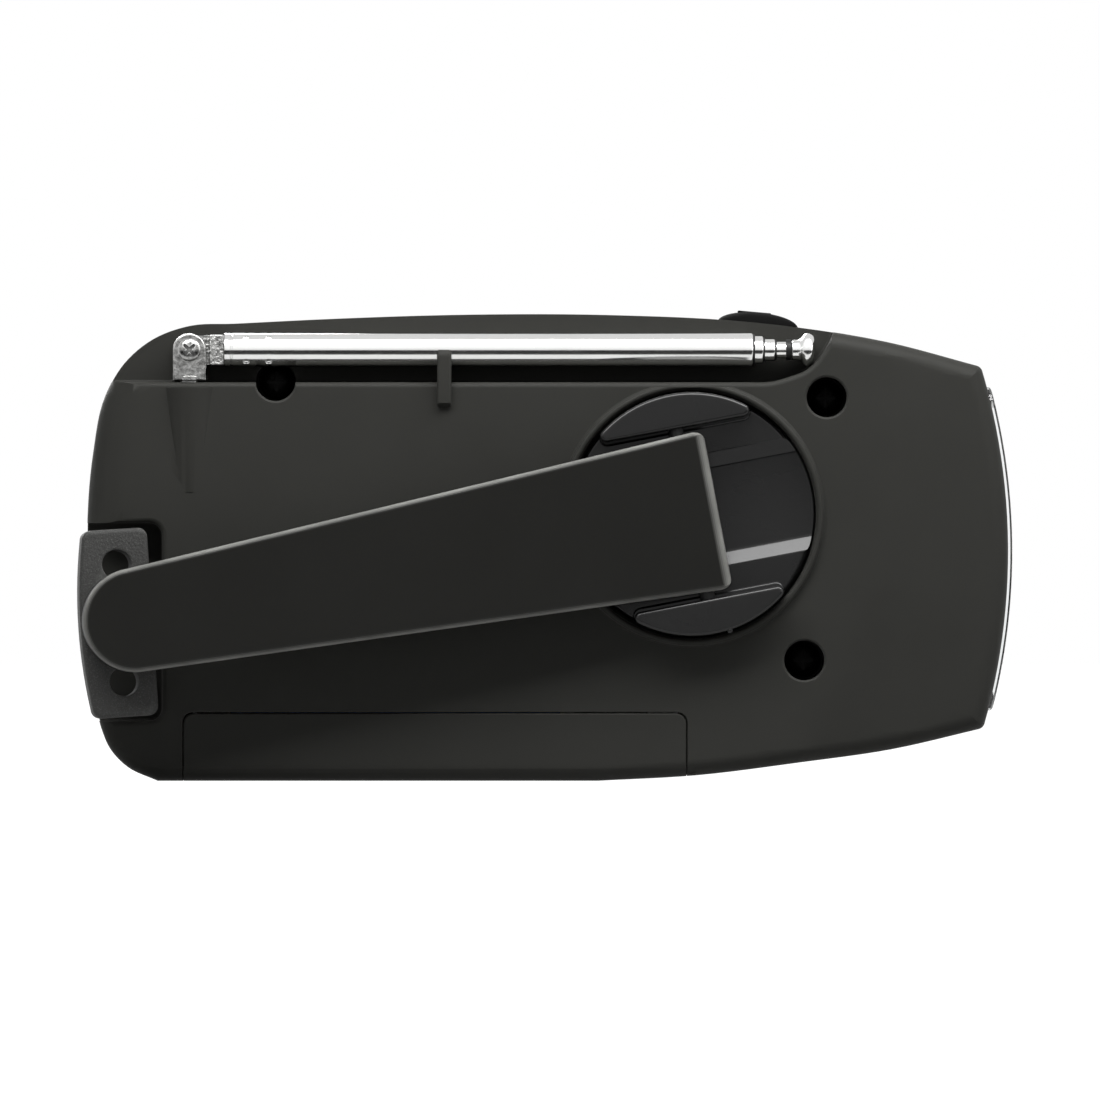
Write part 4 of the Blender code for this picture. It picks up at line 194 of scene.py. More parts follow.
def arc_through(start, middle, end, steps):
    """An arc through three points, with both its ends."""
    (ax, ay), (bx, by), (cx, cy) = start, middle, end
    area = 2 * (ax * (by - cy) + bx * (cy - ay) + cx * (ay - by))
    squares = [x * x + y * y for x, y in (start, middle, end)]
    x0 = (squares[0] * (by - cy) + squares[1] * (cy - ay) + squares[2] * (ay - by)) / area
    y0 = (squares[0] * (cx - bx) + squares[1] * (ax - cx) + squares[2] * (bx - ax)) / area
    first = last = math.atan2(ay - y0, ax - x0)
    for x, y in (middle, end):
        turn = math.atan2(y - y0, x - x0) - last
        last += math.atan2(math.sin(turn), math.cos(turn))
    return arc((x0, y0), math.dist(start, (x0, y0)), first, last, steps)


def rounded(corners, radius, steps=6):
    """A closed outline through these corners, each rounded by this radius or by its own."""
    outline = []
    for i, corner in enumerate(corners):
        here, before, after = Vector(corner), Vector(corners[i - 1]), Vector(corners[(i + 1) % len(corners)])
        size = radius[i] if isinstance(radius, (list, tuple)) else radius
        back, on = (before - here).normalized(), (after - here).normalized()
        half = math.acos(max(-1, min(1, back.dot(on)))) / 2
        if not size or half > math.pi * 0.49:
            outline.append(tuple(here))
            continue
        centre = here + (back + on).normalized() * size / math.sin(half)
        start = here + back * size / math.tan(half)
        end = here + on * size / math.tan(half)
        first = math.atan2(start.y - centre.y, start.x - centre.x)
        turn = math.atan2(end.y - centre.y, end.x - centre.x) - first
        turn = math.atan2(math.sin(turn), math.cos(turn))
        outline += arc(centre, size, first, first + turn, steps)
    return outline


def rectangle(low, high, radius=0, steps=6):
    corners = ((high[0], low[1]), (high[0], high[1]), (low[0], high[1]), (low[0], low[1]))
    return rounded(corners, radius, steps)


def capsule(length, width, steps=14):
    """A long round outline about the origin, along x."""
    reach, radius = (length - width) / 2, width / 2
    right = arc((reach, 0), radius, -RIGHT_ANGLE, RIGHT_ANGLE, steps)
    return right + arc((-reach, 0), radius, RIGHT_ANGLE, 3 * RIGHT_ANGLE, steps)


def inset(outline, distance):
    """A closed outline, running anticlockwise, moved inwards by this distance."""
    if not distance:
        return list(outline)
    points = []
    for i, point in enumerate(outline):
        here = Vector(point)
        before = (here - Vector(outline[i - 1])).normalized()
        after = (Vector(outline[(i + 1) % len(outline)]) - here).normalized()
        inward = Vector((-before.y - after.y, before.x + after.x)).normalized()
        points.append(tuple(here + inward * distance / inward.dot(Vector((-before.y, before.x)))))
    return points


def end_arc(steps=24):
    """The arc of the torch end, from bottom to top."""
    return arc_through(spot(BOTTOM_RUN[-1]), spot(END_BULGE), spot(TOP_RUN[0]), steps)


def housing_outline(distance=0.0):
    """The housing's outline, moved inwards by this distance, with small round corners at the torch end."""
    top = [spot(share) for share in TOP_RUN]
    bottom = [spot(share) for share in BOTTOM_RUN]
    side = smooth_run(top, 6) + [top[-1]] + smooth_run(bottom, 6)
    corners = inset(side + end_arc()[:-1], distance)
    radii = [0.0] * len(corners)
    radii[0] = radii[len(side)] = max(1.3 - distance, 0.1)
    return rounded(corners, radii)


# Layers: how far an outline is inset at each height
def rounded_floor(height, radius, steps):
    """The lowest layers of a form, whose edge is rounded or square."""
    if not radius:
        return [(0.0, height)]
    return arc((radius, height + radius), radius, -RIGHT_ANGLE, -math.pi, steps)


def mouth(depth, lip, floor=0.0, steps=5):
    """Layers of a cutter with a rounded mouth at height zero and a rounded floor."""
    edge = arc((-lip, -lip), lip, 0, RIGHT_ANGLE, steps)
    return rounded_floor(-depth, floor, steps) + edge + [(-lip, OVER)]


def crown(low, high, top, bottom=0.0, steps=6):
    """Layers of a solid whose upper and lower edges are rounded."""
    return rounded_floor(low, bottom, steps) + arc((top, high - top), top, math.pi, RIGHT_ANGLE, steps)


# Mesh code
def placed(data, name="work"):
    """An object of this data, in the scene."""
    obj = bpy.data.objects.new(name, data)
    bpy.context.scene.collection.objects.link(obj)
    return obj


def copy_of(obj):
    """A working object like this one."""
    return placed(obj.data.copy())


def meshed(build):
    """A bmesh made an object and cleared away."""
    obj = placed(bpy.data.meshes.new("work"))
    build.to_mesh(obj.data)
    build.free()
    return obj


def shape(build, base=PLAIN):
    """A working object from a bmesh, in millimetres."""
    bmesh.ops.remove_doubles(build, verts=build.verts, dist=MERGED)
    bmesh.ops.recalc_face_normals(build, faces=build.faces)
    obj = meshed(build)
    obj.data.transform(base)
    return obj


def lofted(rings):
    """A bmesh through rings of as many points each, capped at both ends."""
    build = bmesh.new()
    made = [[build.verts.new(point) for point in ring] for ring in rings]
    for ring, following in zip(made, made[1:]):
        for i, vert in enumerate(ring):
            build.faces.new((ring[i - 1], vert, following[i], following[i - 1]))
    build.faces.new(made[0])
    build.faces.new(made[-1])
    return build


def stacked(outline, layers):
    """A bmesh whose outline is inset by each layer's distance at its height."""
    return lofted([[(x, y, height) for x, y in inset(outline, distance)] for distance, height in layers])


def layered(outline, layers, base=PLAIN):
    """A solid whose outline changes from layer to layer."""
    return shape(stacked(outline, layers), base)


def prism(outline, low, high, base=PLAIN):
    """A straight solid from one height to another."""
    return layered(outline, ((0, low), (0, high)), base)


def block(low, high, base=PLAIN):
    """A box from one corner to the opposite one."""
    return prism(rectangle(low, high), low[2], high[2], base)


def sliced(build, axis, places):
    """Cuts a bmesh's faces across at these places, so that it can bend there."""
    normal = Vector([float(name == axis) for name in "xyz"])
    for place in places:
        parts = build.verts[:] + build.edges[:] + build.faces[:]
        bmesh.ops.bisect_plane(build, geom=parts, plane_co=normal * place, plane_no=normal, dist=MERGED)


def lathe(profile, steps=64, base=PLAIN, closed=False):
    """A profile of (radius, height) turned about z; it is a ring where it is closed."""
    build = bmesh.new()
    columns = []
    for i in range(steps):
        angle = FULL_TURN * i / steps
        columns.append([build.verts.new((r * math.cos(angle), r * math.sin(angle), h)) for r, h in profile])
    count = len(profile)
    for i, column in enumerate(columns):
        following = columns[(i + 1) % steps]
        for j in range(count if closed else count - 1):
            k = (j + 1) % count
            corners = (column[j], following[j], following[k], column[k])
            build.faces.new([v for n, v in enumerate(corners) if v.co not in [u.co for u in corners[:n]]])
    bmesh.ops.remove_doubles(build, verts=build.verts, dist=MERGED)
    bmesh.ops.dissolve_degenerate(build, edges=build.edges, dist=0.0002)
    return shape(build, base)


def rod(radius, high, low, steps=32, base=PLAIN):
    """A plain round bar along z."""
    return lathe(((0, high), (radius, high), (radius, low), (0, low)), steps, base)


def evaluated(obj):
    """The object's mesh with its modifiers' work in it."""
    bpy.context.view_layer.update()
    return bpy.data.meshes.new_from_object(obj.evaluated_get(bpy.context.evaluated_depsgraph_get()))


def applied(obj):
    """Makes the object's modifiers part of its mesh."""
    mesh = evaluated(obj)
    obj.modifiers.clear()
    obj.data = mesh
    return obj


def carve(obj, *tools, operation="DIFFERENCE"):
    """Cuts with each tool, or does what the operation says, and clears the tools away."""
    for tool in tools:
        step = obj.modifiers.new("Work", "BOOLEAN")
        step.operation, step.solver, step.object = operation, "EXACT", tool
    applied(obj)
    for tool in tools:
        bpy.data.objects.remove(tool)
    return obj


def weld(obj, *tools):
    """Makes each tool part of the solid."""
    return carve(obj, *tools, operation="UNION")


def keep(obj, tool):
    """Keeps what lies inside the tool."""
    return carve(obj, tool, operation="INTERSECT")


def soften(obj, width, steps=3):
    """Rounds the sharp edges of a solid."""
    bevel = obj.modifiers.new("Soften", "BEVEL")
    bevel.width, bevel.segments = width, steps
    bevel.limit_method, bevel.angle_limit = "ANGLE", math.radians(40)
    return applied(obj)


def joined(parts):
    """Several separate shapes as one mesh."""
    build = bmesh.new()
    for part in parts:
        build.from_mesh(part.data)
        bpy.data.objects.remove(part)
    return meshed(build)


def finish_piece(obj, name, body, finish, nodes=(), sharp=32):
    """A shape in millimetres made a finished piece in metres, on its body in place of its CAD nodes."""
    obj.name = obj.data.name = name
    mesh = obj.data
    mesh.transform(METRES)
    mesh.shade_smooth()
    mesh.set_sharp_from_angle(angle=math.radians(sharp))
    even = obj.modifiers.new("Even shading", "WEIGHTED_NORMAL")
    even.keep_sharp = True
    applied(obj)
    obj.data.name = name
    obj.data.materials.clear()
    obj.data.materials.append(material(finish))
    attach(obj, body)
    if nodes:
        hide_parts(*nodes)


# Nodes
class Value:
    """A node socket whose sums add their own Math nodes."""

    def __init__(self, nodes, socket):
        self.nodes, self.socket = nodes, socket

    def sum_with(self, operation, *others):
        return self.nodes.node("ShaderNodeMath", {"operation": operation}, dict(enumerate(others)))

    def __add__(self, other):
        return self.sum_with("ADD", self, other)

    def __sub__(self, other):
        return self.sum_with("SUBTRACT", self, other)

    def __rsub__(self, other):
        return self.sum_with("SUBTRACT", other, self)

    def __mul__(self, other):
        return self.sum_with("MULTIPLY", self, other)

    def __truediv__(self, other):
        return self.sum_with("DIVIDE", self, other)

    def __pow__(self, other):
        return self.sum_with("POWER", self, other)

    __radd__ = __add__
    __rmul__ = __mul__

    def above(self, level):
        return self.sum_with("GREATER_THAN", self, level)

    def held(self):
        """The value held between zero and one."""
        return self.nodes.node("ShaderNodeClamp", {}, {0: self})


class Nodes:
    """A node tree, made one step at a time."""

    def __init__(self, tree):
        self.tree = tree

    def node(self, kind, settings, values, out=0):
        """A node of this type, its settings first and then its sockets' values or links."""
        step = self.tree.nodes.new(kind)
        for setting, value in settings.items():
            if setting == "stops":
                while len(step.color_ramp.elements) < len(value):
                    step.color_ramp.elements.new(1)
                for element, (position, shade) in zip(step.color_ramp.elements, value):
                    element.position, element.color = position, (shade, shade, shade, 1)
            else:
                setattr(step, setting, value)
        for socket, value in values.items():
            self.feed(step.inputs[socket], value)
        return Value(self, step.outputs[out]) if step.outputs else None

    def feed(self, socket, value):
        """Gives a socket its value or its link."""
        if isinstance(value, Value):
            self.tree.links.new(value.socket, socket)
        elif socket.type == "RGBA" and len(value) == 3:
            socket.default_value = (*value, 1)
        else:
            socket.default_value = value

    def ray(self, kind):
        return self.node("ShaderNodeLightPath", {}, {}, f"Is {kind} Ray")


class Recipe(Nodes):
    """A node material."""

    def __init__(self, name, constants):
        self.material = bpy.data.materials.new(name)
        self.material.use_nodes = True
        super().__init__(self.material.node_tree)
        self.shader = self.tree.nodes["Principled BSDF"]
        for socket, value in constants.items():
            self.shader.inputs[socket].default_value = value
        self.place = self.node("ShaderNodeTexCoord", {}, {}, "Object")

    def set(self, socket, value):
        self.feed(self.shader.inputs[socket], value)

    def noise(self, scale, detail=2.0, stretch=None):
        place = self.place
        if stretch:
            place = self.node("ShaderNodeMapping", {}, {"Vector": place, "Scale": stretch})
        values = {"Vector": place, "Scale": scale, "Detail": detail}
        return self.node("ShaderNodeTexNoise", {}, values, "Fac")

    def bands(self, scale, axis, distortion=0.0):
        values = {"Vector": self.place, "Scale": scale, "Distortion": distortion}
        return self.node("ShaderNodeTexWave", {"wave_type": "BANDS", "bands_direction": axis}, values, "Fac")

    def mix(self, factor, first, second):
        """One colour turned into another by a factor."""
        return self.node("ShaderNodeMix", {"data_type": "RGBA"}, {0: factor, 6: first, 7: second}, 2)

    def edges(self, radius):
        """A value that rises along the edges of the piece, from zero beyond this radius."""
        bevel = self.node("ShaderNodeBevel", {"samples": 6}, {"Radius": radius})
        normal = self.node("ShaderNodeNewGeometry", {}, {}, "Normal")
        sides = {0: bevel, 1: normal}
        return 1 - self.node("ShaderNodeVectorMath", {"operation": "DOT_PRODUCT"}, sides, "Value")

    def bump(self, height, distance, strength=1.0):
        values = {"Height": height, "Distance": distance, "Strength": strength}
        return self.node("ShaderNodeBump", {}, values)

    def paint(self, colour, rough, height=None, distance=0.0, strength=1.0):
        """The colour, the roughness and the small relief of the surface."""
        self.set("Base Color", colour)
        self.set("Roughness", rough)
        if height:
            self.set("Normal", self.bump(height, distance, strength))


# Finishes
def scaled(colour, factor, lift=0.0):
    return [c * factor + lift for c in colour]


def moulded(recipe, colour, rough, grain=5000.0, depth=0.00001, wear=0.35, cloud=0.05, lift=1.6):
    """Moulded plastic: fine grain, uneven sheen, and edges rubbed smoother and lighter."""
    patches = recipe.noise(55.0, 4.0)
    specks = recipe.noise(grain, 2.0)
    rubbed = (recipe.edges(0.0005) * (recipe.noise(900.0, 3.0) + 0.35) * wear * 3).held()
    tone = recipe.mix(patches, scaled(colour, 1 - cloud), scaled(colour, 1 + cloud * 3))
    tone = recipe.mix(rubbed, tone, scaled(colour, lift, 0.012))
    recipe.paint(tone, (patches - 0.5) * 0.14 + (specks - 0.5) * 0.10 + rough - rubbed * 0.12, specks, depth)


def polished(recipe, colour, rough, axis=(1, 1, 1), depth=0.000002):
    """Bright metal with fine drawn lines, faint smears and a duller edge."""
    lines = recipe.noise(2600.0, 3.0, [1 / side for side in axis])
    smears = recipe.noise(140.0, 3.0)
    edge = (recipe.edges(0.0003) * 1.5).held()
    tone = recipe.mix(edge, recipe.mix(smears, colour, scaled(colour, 0.90)), scaled(colour, 0.72))
    recipe.paint(tone, smears * 0.10 + lines * 0.06 + rough + edge * 0.10, lines, depth, 0.6)


def grained(recipe, grain, first, second, rough, spread, depth=0.0):
    """Two colours, a sheen and a relief that follow one grain, given as a value or as a noise's sizes."""
    grain = recipe.noise(*grain) if isinstance(grain, tuple) else grain
    recipe.paint(recipe.mix(grain, first, second), grain * spread + rough, grain if depth else None, depth)


def lever_plastic(recipe, colour):
    """Moulded plastic with a painted highlight: its rounded long edges are made pale and a little glossier.
    """
    patches, grain = recipe.noise(55.0, 4.0), recipe.noise(5200.0, 2.0)
    # Painted highlight: the rim value, high on the rounded edges, lightens the colour there.
    rim = recipe.node("ShaderNodeAttribute", {"attribute_name": "rim"}, {}, "Fac")
    edge = rim * (recipe.noise(120.0, 2.0) + 0.4)
    tone = recipe.mix(patches, colour, scaled(colour, 1.15))
    tone = recipe.mix(edge.held(), tone, scaled(colour, 12, 0.07))
    recipe.paint(tone, 0.40 + (patches - 0.5) * 0.14 + (grain - 0.5) * 0.10 - edge * 0.08, grain, 0.000008)


def key_plastic(recipe, colour):
    moulded(recipe, scaled(colour, 0.45), 0.85, 2600.0, 0.000004, 0.1, 0.03)


def scuffed_plastic(recipe, colour):
    """Rough moulded plastic with pale scuffs."""
    scuffs = (recipe.noise(420.0, 8.0, (1, 1, 0.35)) - 0.56) * 5
    grain = recipe.noise(2600.0, 6.0)
    specks = ((recipe.noise(5200.0, 3.0) - 0.52) * 6).held()
    rubbed = (recipe.edges(0.0006) * 3.2 * (recipe.noise(700.0, 4.0) + 0.2)).held()
    tone = recipe.mix(scuffs.held() * 0.6, colour, scaled(colour, 2.6, 0.012))
    tone = recipe.mix(specks * 0.5, tone, scaled(colour, 3, 0.02))
    tone = recipe.mix(rubbed, tone, scaled(colour, 3.2, 0.03))
    recipe.paint(tone, (0.72 + (grain - 0.5) * 0.3 - rubbed * 0.15).held(), grain, 0.00011)


def worn_chrome(recipe, bright):
    """Pressed bright metal: dull and blotched on its faces, with a painted highlight on its edges and
    painted shade in its hollows.
    """
    # Painted highlight: the edges take the bright colour.
    edge = (recipe.edges(0.0004) * 4.0).held()
    blotch = recipe.noise(1500.0, 5.0)
    own = {"samples": 8, "only_local": True}
    # Painted shade: ambient occlusion darkens the colour in hollows and gaps.
    light = recipe.node("ShaderNodeAmbientOcclusion", own, {"Distance": 0.0009}, "AO")
    tone = recipe.mix((blotch * 2.4 - 0.7).held(), (0.16, 0.16, 0.155), (0.52, 0.52, 0.51))
    tone = recipe.mix(((light - 0.35) * 1.8).held(), (0.03, 0.03, 0.03), recipe.mix(edge, tone, bright))
    recipe.paint(tone, 0.16 + blotch * 0.14, blotch, 0.00003)


def cast_chrome(recipe):
    """The rough cast block of the antenna: bright metal with deep pits."""
    pits = recipe.noise(2200.0, 8.0)
    tone = recipe.mix((pits * 2.0 - 0.5).held(), (0.09, 0.09, 0.088), (0.42, 0.42, 0.41))
    recipe.paint(tone, 0.26 + pits * 0.3, pits, 0.00022)


def winding(recipe):
    """Enamelled wire laid turn by turn."""
    grained(recipe, recipe.bands(1800.0, "X"), (0.22, 0.06, 0.02), (0.62, 0.26, 0.10), 0.45, -0.2, 0.00008)


def board(recipe):
    """A printed board: solder mask over tracks, with bright pads."""
    tracks = (recipe.bands(110.0, "X", 6.0) - 0.72) * 9
    across = (recipe.bands(90.0, "Z", 9.0) - 0.78) * 9
    copper = (tracks.held() + across.held()).held()
    cells = recipe.node("ShaderNodeTexVoronoi", {}, {"Vector": recipe.place, "Scale": 260.0}, "Distance")
    pads = ((0.11 - cells) * 30).held()
    mask = recipe.mix(copper, (0.012, 0.085, 0.035), (0.035, 0.19, 0.085))
    rough = 0.34 + recipe.noise(1400.0, 3.0) * 0.12 - pads * 0.1
    recipe.paint(recipe.mix(pads, mask, (0.62, 0.60, 0.54)), rough, copper + pads, 0.00005)


def cloth(recipe):
    """The woven speaker cloth."""
    weave = recipe.bands(700.0, "X") * recipe.bands(700.0, "Z")
    grained(recipe, weave, (0.004, 0.004, 0.004), (0.035, 0.035, 0.034), 0.85, -0.2, 0.00012)


def cell_wrap(recipe):
    """A sleeved cell with a bright band towards its positive end."""
    along = recipe.node("ShaderNodeSeparateXYZ", {}, {0: recipe.place}, 0)
    grain = recipe.noise(500.0, 3.0)
    tone = recipe.mix(along.above(0.002), (0.02, 0.07, 0.30), (0.55, 0.56, 0.58))
    recipe.paint(recipe.mix(along.above(0.0142), tone, (0.6, 0.6, 0.6)), 0.26 + grain * 0.1, grain, 0.00002)


# Each finish: how it is made, with what (a name is a colour of the radio's look), and its fixed values
SHINE = "Specular IOR Level"
METAL = {"Metallic": 1.0}
FINISHES = {
    "soft_black": (moulded, ("body_colour", 0.50, 7000.0, 0.000006, 0.25), {SHINE: 0.07}),
    "lever_black": (lever_plastic, ("lever_colour",), {SHINE: 0.08}),
    "satin_black": (key_plastic, ("rotor_colour",), {SHINE: 0.02}),
    "gloss_black": (moulded, ("rotor_colour", 0.20, 900.0, 0.000003, 0.2, 0.03), {SHINE: 0.30}),
    "rough_black": (scuffed_plastic, ("grip_colour",), {SHINE: 0.35}),
    "rubber": (moulded, ((0.020, 0.020, 0.020), 0.72, 4200.0, 0.00002, 0.25), {SHINE: 0.35}),
    "chrome": (polished, ("chrome_colour", 0.07, (6, 1, 1)), METAL),
    "worn_chrome": (worn_chrome, ("chrome_colour",), METAL),
    "cast_chrome": (cast_chrome, (), METAL),
    "steel": (polished, ((0.52, 0.52, 0.53), 0.28, (1, 1, 6), 0.000006), METAL),
    "black_steel": (polished, ((0.018, 0.018, 0.018), 0.42, (1, 1, 1), 0.000006), {"Metallic": 0.8}),
    "copper": (winding, (), {"Metallic": 0.9}),
    "white_nylon": (moulded, ((0.72, 0.70, 0.64), 0.42, 2600.0, 0.00001, 0.15, 0.03, 1.05), {}),
    "board_green": (board, (), {}),
    "ferrite": (moulded, ((0.045, 0.045, 0.05), 0.55, 1600.0, 0.00003, 0.5, 0.1), {}),
    "paper_black": (
        grained,
        ((1500.0, 8.0, (1, 3, 1)), (0.018, 0.018, 0.018), (0.05, 0.05, 0.048), 0.80, 0.15, 0.0001),
        {},
    ),
    "cloth": (cloth, (), {}),
    "cell_blue": (cell_wrap, (), {"Metallic": 0.3}),
    "clear": (
        grained,
        ((90.0, 4.0), (0.97, 0.98, 0.98), (0.90, 0.92, 0.92), 0.03, 0.06),
        {"Transmission Weight": 1.0, "IOR": 1.49},
    ),
    "silver": (grained, ((500.0, 2.0), (0.90, 0.90, 0.91), (0.80, 0.80, 0.82), 0.06, 0.06, 0.000015), METAL),
    "amber": (
        grained,
        ((900.0, 4.0), (0.75, 0.13, 0.01), (0.85, 0.24, 0.03), 0.14, 0.1, 0.00001),
        {"Subsurface Weight": 0.1},
    ),
    "pale_grey": (moulded, ((0.58, 0.57, 0.54), 0.45, 2600.0, 0.00001, 0.15, 0.03, 1.05), {}),
    "dial_paint": (
        grained,
        ((1800.0, 3.0), (0.010, 0.010, 0.011), (0.020, 0.020, 0.021), 0.42, 0.12, 0.000008),
        {},
    ),
    "ink": (grained, ((3000.0, 4.0), (0.78, 0.78, 0.75), (0.62, 0.62, 0.60), 0.55, 0.1), {}),
}


def material(finish):
    """The finished material of this name, made the first time it is asked for."""
    name = "finish_" + finish
    if name not in bpy.data.materials:
        make, values, constants = FINISHES[finish]
        look = bpy.context.scene.radio_look
        values = [getattr(look, value) if isinstance(value, str) else value for value in values]
        make(Recipe(name, constants), *values)
    return bpy.data.materials[name]


# Geometry nodes
class Layout(Nodes):
    """A geometry node group that sets copies of a shape out and ends in real geometry with its material."""

    def __init__(self, name, **inputs):
        super().__init__(bpy.data.node_groups.new(name, "GeometryNodeTree"))
        inputs.update(Shape="Object", Material="Material")
        face = self.tree.interface
        face.new_socket("Geometry", in_out="OUTPUT", socket_type="NodeSocketGeometry")
        for label, kind in inputs.items():
            face.new_socket(label, in_out="INPUT", socket_type=f"NodeSocket{kind}")
        self.inputs = {label: self.node("NodeGroupInput", {}, {}, label) for label in inputs}

    def object(self, label):
        return self.node("GeometryNodeObjectInfo", {}, {"Object": self.inputs[label]}, "Geometry")

    def line(self, start=(0, 0, 0), pitch=(0, 0, 0)):
        values = {"Count": self.inputs["Count"], "Start Location": start, "Offset": pitch}
        return self.node("GeometryNodeMeshLine", {}, values)

    def close(self, points, **placing):
        """Copies of the shape at these points."""
        values = {"Points": points, "Instance": self.object("Shape"), **placing}
        copies = self.node("GeometryNodeInstanceOnPoints", {}, values)
        real = self.node("GeometryNodeRealizeInstances", {}, {"Geometry": copies})
        values = {"Geometry": real, "Material": self.inputs["Material"]}
        self.node("NodeGroupOutput", {}, {0: self.node("GeometryNodeSetMaterial", {}, values)})
        return self.tree


def ring_layout():
    """Copies of a small shape round the z axis, each turned to face outwards."""
    layout = Layout("ring_of", Count="Int", First="Float", Sweep="Float")
    index = layout.node("GeometryNodeInputIndex", {}, {})
    angle = index * layout.inputs["Sweep"] + layout.inputs["First"]
    return layout.close(layout.line(), Rotation=layout.node("ShaderNodeCombineXYZ", {}, {"Z": angle}))


def row_layout():
    """Copies of a small shape in a straight row."""
    layout = Layout("row_of", Count="Int", Start="Vector", Pitch="Vector")
    return layout.close(layout.line(layout.inputs["Start"], layout.inputs["Pitch"]))


def spots_layout():
    """Copies of a small shape at the points of another one."""
    layout = Layout("copies_at", Places="Object")
    return layout.close(layout.object("Places"))


def grille_layout():
    """Slots stacked up inside a circle, each as long as the circle is wide at its height."""
    layout = Layout("grille_slots", Count="Int", Pitch="Float", Radius="Float", Width="Float")
    count, pitch, radius, width = (layout.inputs[name] for name in ("Count", "Pitch", "Radius", "Width"))
    rise = (layout.node("GeometryNodeInputIndex", {}, {}) - (count - 1.0) / 2.0) * pitch
    stretch = (radius**2.0 - rise * rise) ** 0.5 / width
    place = layout.node("ShaderNodeCombineXYZ", {}, {"Y": rise})
    points = layout.node("GeometryNodeSetPosition", {}, {"Geometry": layout.line(), "Position": place})
    scale = layout.node("ShaderNodeCombineXYZ", {}, {"X": stretch, "Y": 1.0, "Z": 1.0})
    return layout.close(points, Scale=scale)


GROUPS = {}


def set_out(group, base, **values):
    """The plain shape that a node group makes from these values, whose own shapes are cleared away."""
    obj = placed(bpy.data.meshes.new("work"))
    step = obj.modifiers.new("Set out", "NODES")
    step.node_group = GROUPS[group]
    for item in step.node_group.interface.items_tree:
        if item.in_out == "INPUT" and item.name in values:
            step[item.identifier] = values[item.name]
    applied(obj)
    for value in values.values():
        if isinstance(value, bpy.types.Object):
            bpy.data.objects.remove(value)
    obj.data.transform(base)
    return obj


# Housing
def ramp(distance, reach, drop, soft=1.4):
    """A slope that starts softly at zero and has fallen by drop at its reach."""
    slope = drop / reach
    if distance <= -soft:
        return 0.0
    if distance >= soft:
        return slope * distance
    return slope * (distance + soft) ** 2 / (4 * soft)


def fall(x, z):
    """How far the head and the tail slope in at this place."""
    def at_height(rows, column):
        rows = rows[::-1]
        return float(np.interp(z, [row[1] * HEIGHT for row in rows], [row[column] for row in rows]))

    head, tail = at_height(HEAD_CREASE, 0) * LENGTH, at_height(TAIL_CREASE, 0) * LENGTH
    steep = max(0.0, at_height(TAIL_CREASE, 2))
    at_head = ramp(x - head, LENGTH / 2 - head, HEAD_DROP)
    return at_head + ramp(tail - x, LENGTH / 2 + tail, TAIL_DROP * steep)


def housing_form(offset, edge, pitch):
    """The rounded body or, with an offset, the space inside it, with both slopes on back and front."""
    rings = []
    for inner, height in crown(offset - HALF_DEPTH, HALF_DEPTH - offset, edge, edge):
        rings.append([(x, height, z) for x, z in housing_outline(offset + inner)])
    build = lofted(rings)
    sliced(build, "x", np.arange(*HEAD_SPAN, pitch))
    sliced(build, "x", np.arange(*TAIL_SPAN, pitch))
    sliced(build, "z", np.arange(*RISE_SPAN, pitch * 2))
    for vert in build.verts:
        vert.co.y -= math.copysign(fall(vert.co.x, vert.co.z), vert.co.y)
    return shape(build)


def seam_band(outer, inner, low, high):
    """A band that follows the housing's wall between two insets and two depths."""
    band = prism(housing_outline(outer), -high, -low, TURN_X)
    return carve(band, prism(housing_outline(inner), -high - 1, 1 - low, TURN_X))


def rebate_outline(grow=0):
    """The step that the antenna lies in, with its swept end."""
    sweep = [(x + grow, z - grow) for x, z in smooth_run([spot(share) for share in REBATE_END], 4)]
    return [(-FAR, REBATE_WALL - grow), *sweep, (sweep[-1][0] + 2, FAR), (-FAR, FAR)]


def notch_outline(grow=0):
    """The notch that the handle lies in."""
    inner, low, high = NOTCH
    return rectangle((-FAR, low - grow), (inner + grow, high + grow), 2.0 + grow)


def hollow():
    """The space inside the shells."""
    return carve(
        housing_form(WALL, 0.6, 3.0),
        prism(notch_outline(WALL), -NOTCH_FLOOR - WALL, OVER, BACK),
        prism(rebate_outline(WALL), -REBATE_FLOOR - WALL, OVER, BACK),
        rod(21.9, OVER, -6, 64, back_spot(ROTOR)),
    )


def door_outline(gap):
    """The battery door on the back; its lower half runs out below the housing."""
    return rectangle((DOOR_LEFT + gap, -DOOR_REACH), (DOOR_RIGHT - gap, DOOR_REACH - gap), 1.7)


def corner_strip(thickness):
    """The part of the housing's corner within this thickness of its back and its underside."""
    inner = thickness - 20
    outline = ((-23, -3), (0, -3), (0, thickness), (inner, thickness), (inner, HEIGHT), (-23, HEIGHT))
    return prism(outline, DOOR_LEFT - 3, DOOR_RIGHT + 3, TURN_X @ TURN_Y)


def lens_outline(grow):
    """The torch lens, seen from the end."""
    return rectangle((LENS_LOW - grow, -12.2 - grow), (LENS_HIGH + grow, 12.2 + grow), 3.0 + grow)


def bent_plate(outline, layers):
    """A plate laid against the arc of the torch end; its heights are measured inwards from the arc."""
    build = stacked(outline, layers)
    sliced(build, "x", np.arange(10.0, 66.0, 1.5))
    curve = sorted((z, x) for x, z in end_arc())
    for vert in build.verts:
        vert.co.z -= float(np.interp(vert.co.x, [z for z, _ in curve], [x for _, x in curve]))
    return shape(build, END)


def lens_seat():
    """Cutters for the lens's seat and for the opening behind it."""
    seat = bent_plate(lens_outline(GAP), ((0, 1.6), (0, -4.0)))
    return seat, prism(rectangle((LENS_LOW + 1.4, -10.4), (LENS_HIGH - 1.4, 10.4), 1.6), -78, -65, END)


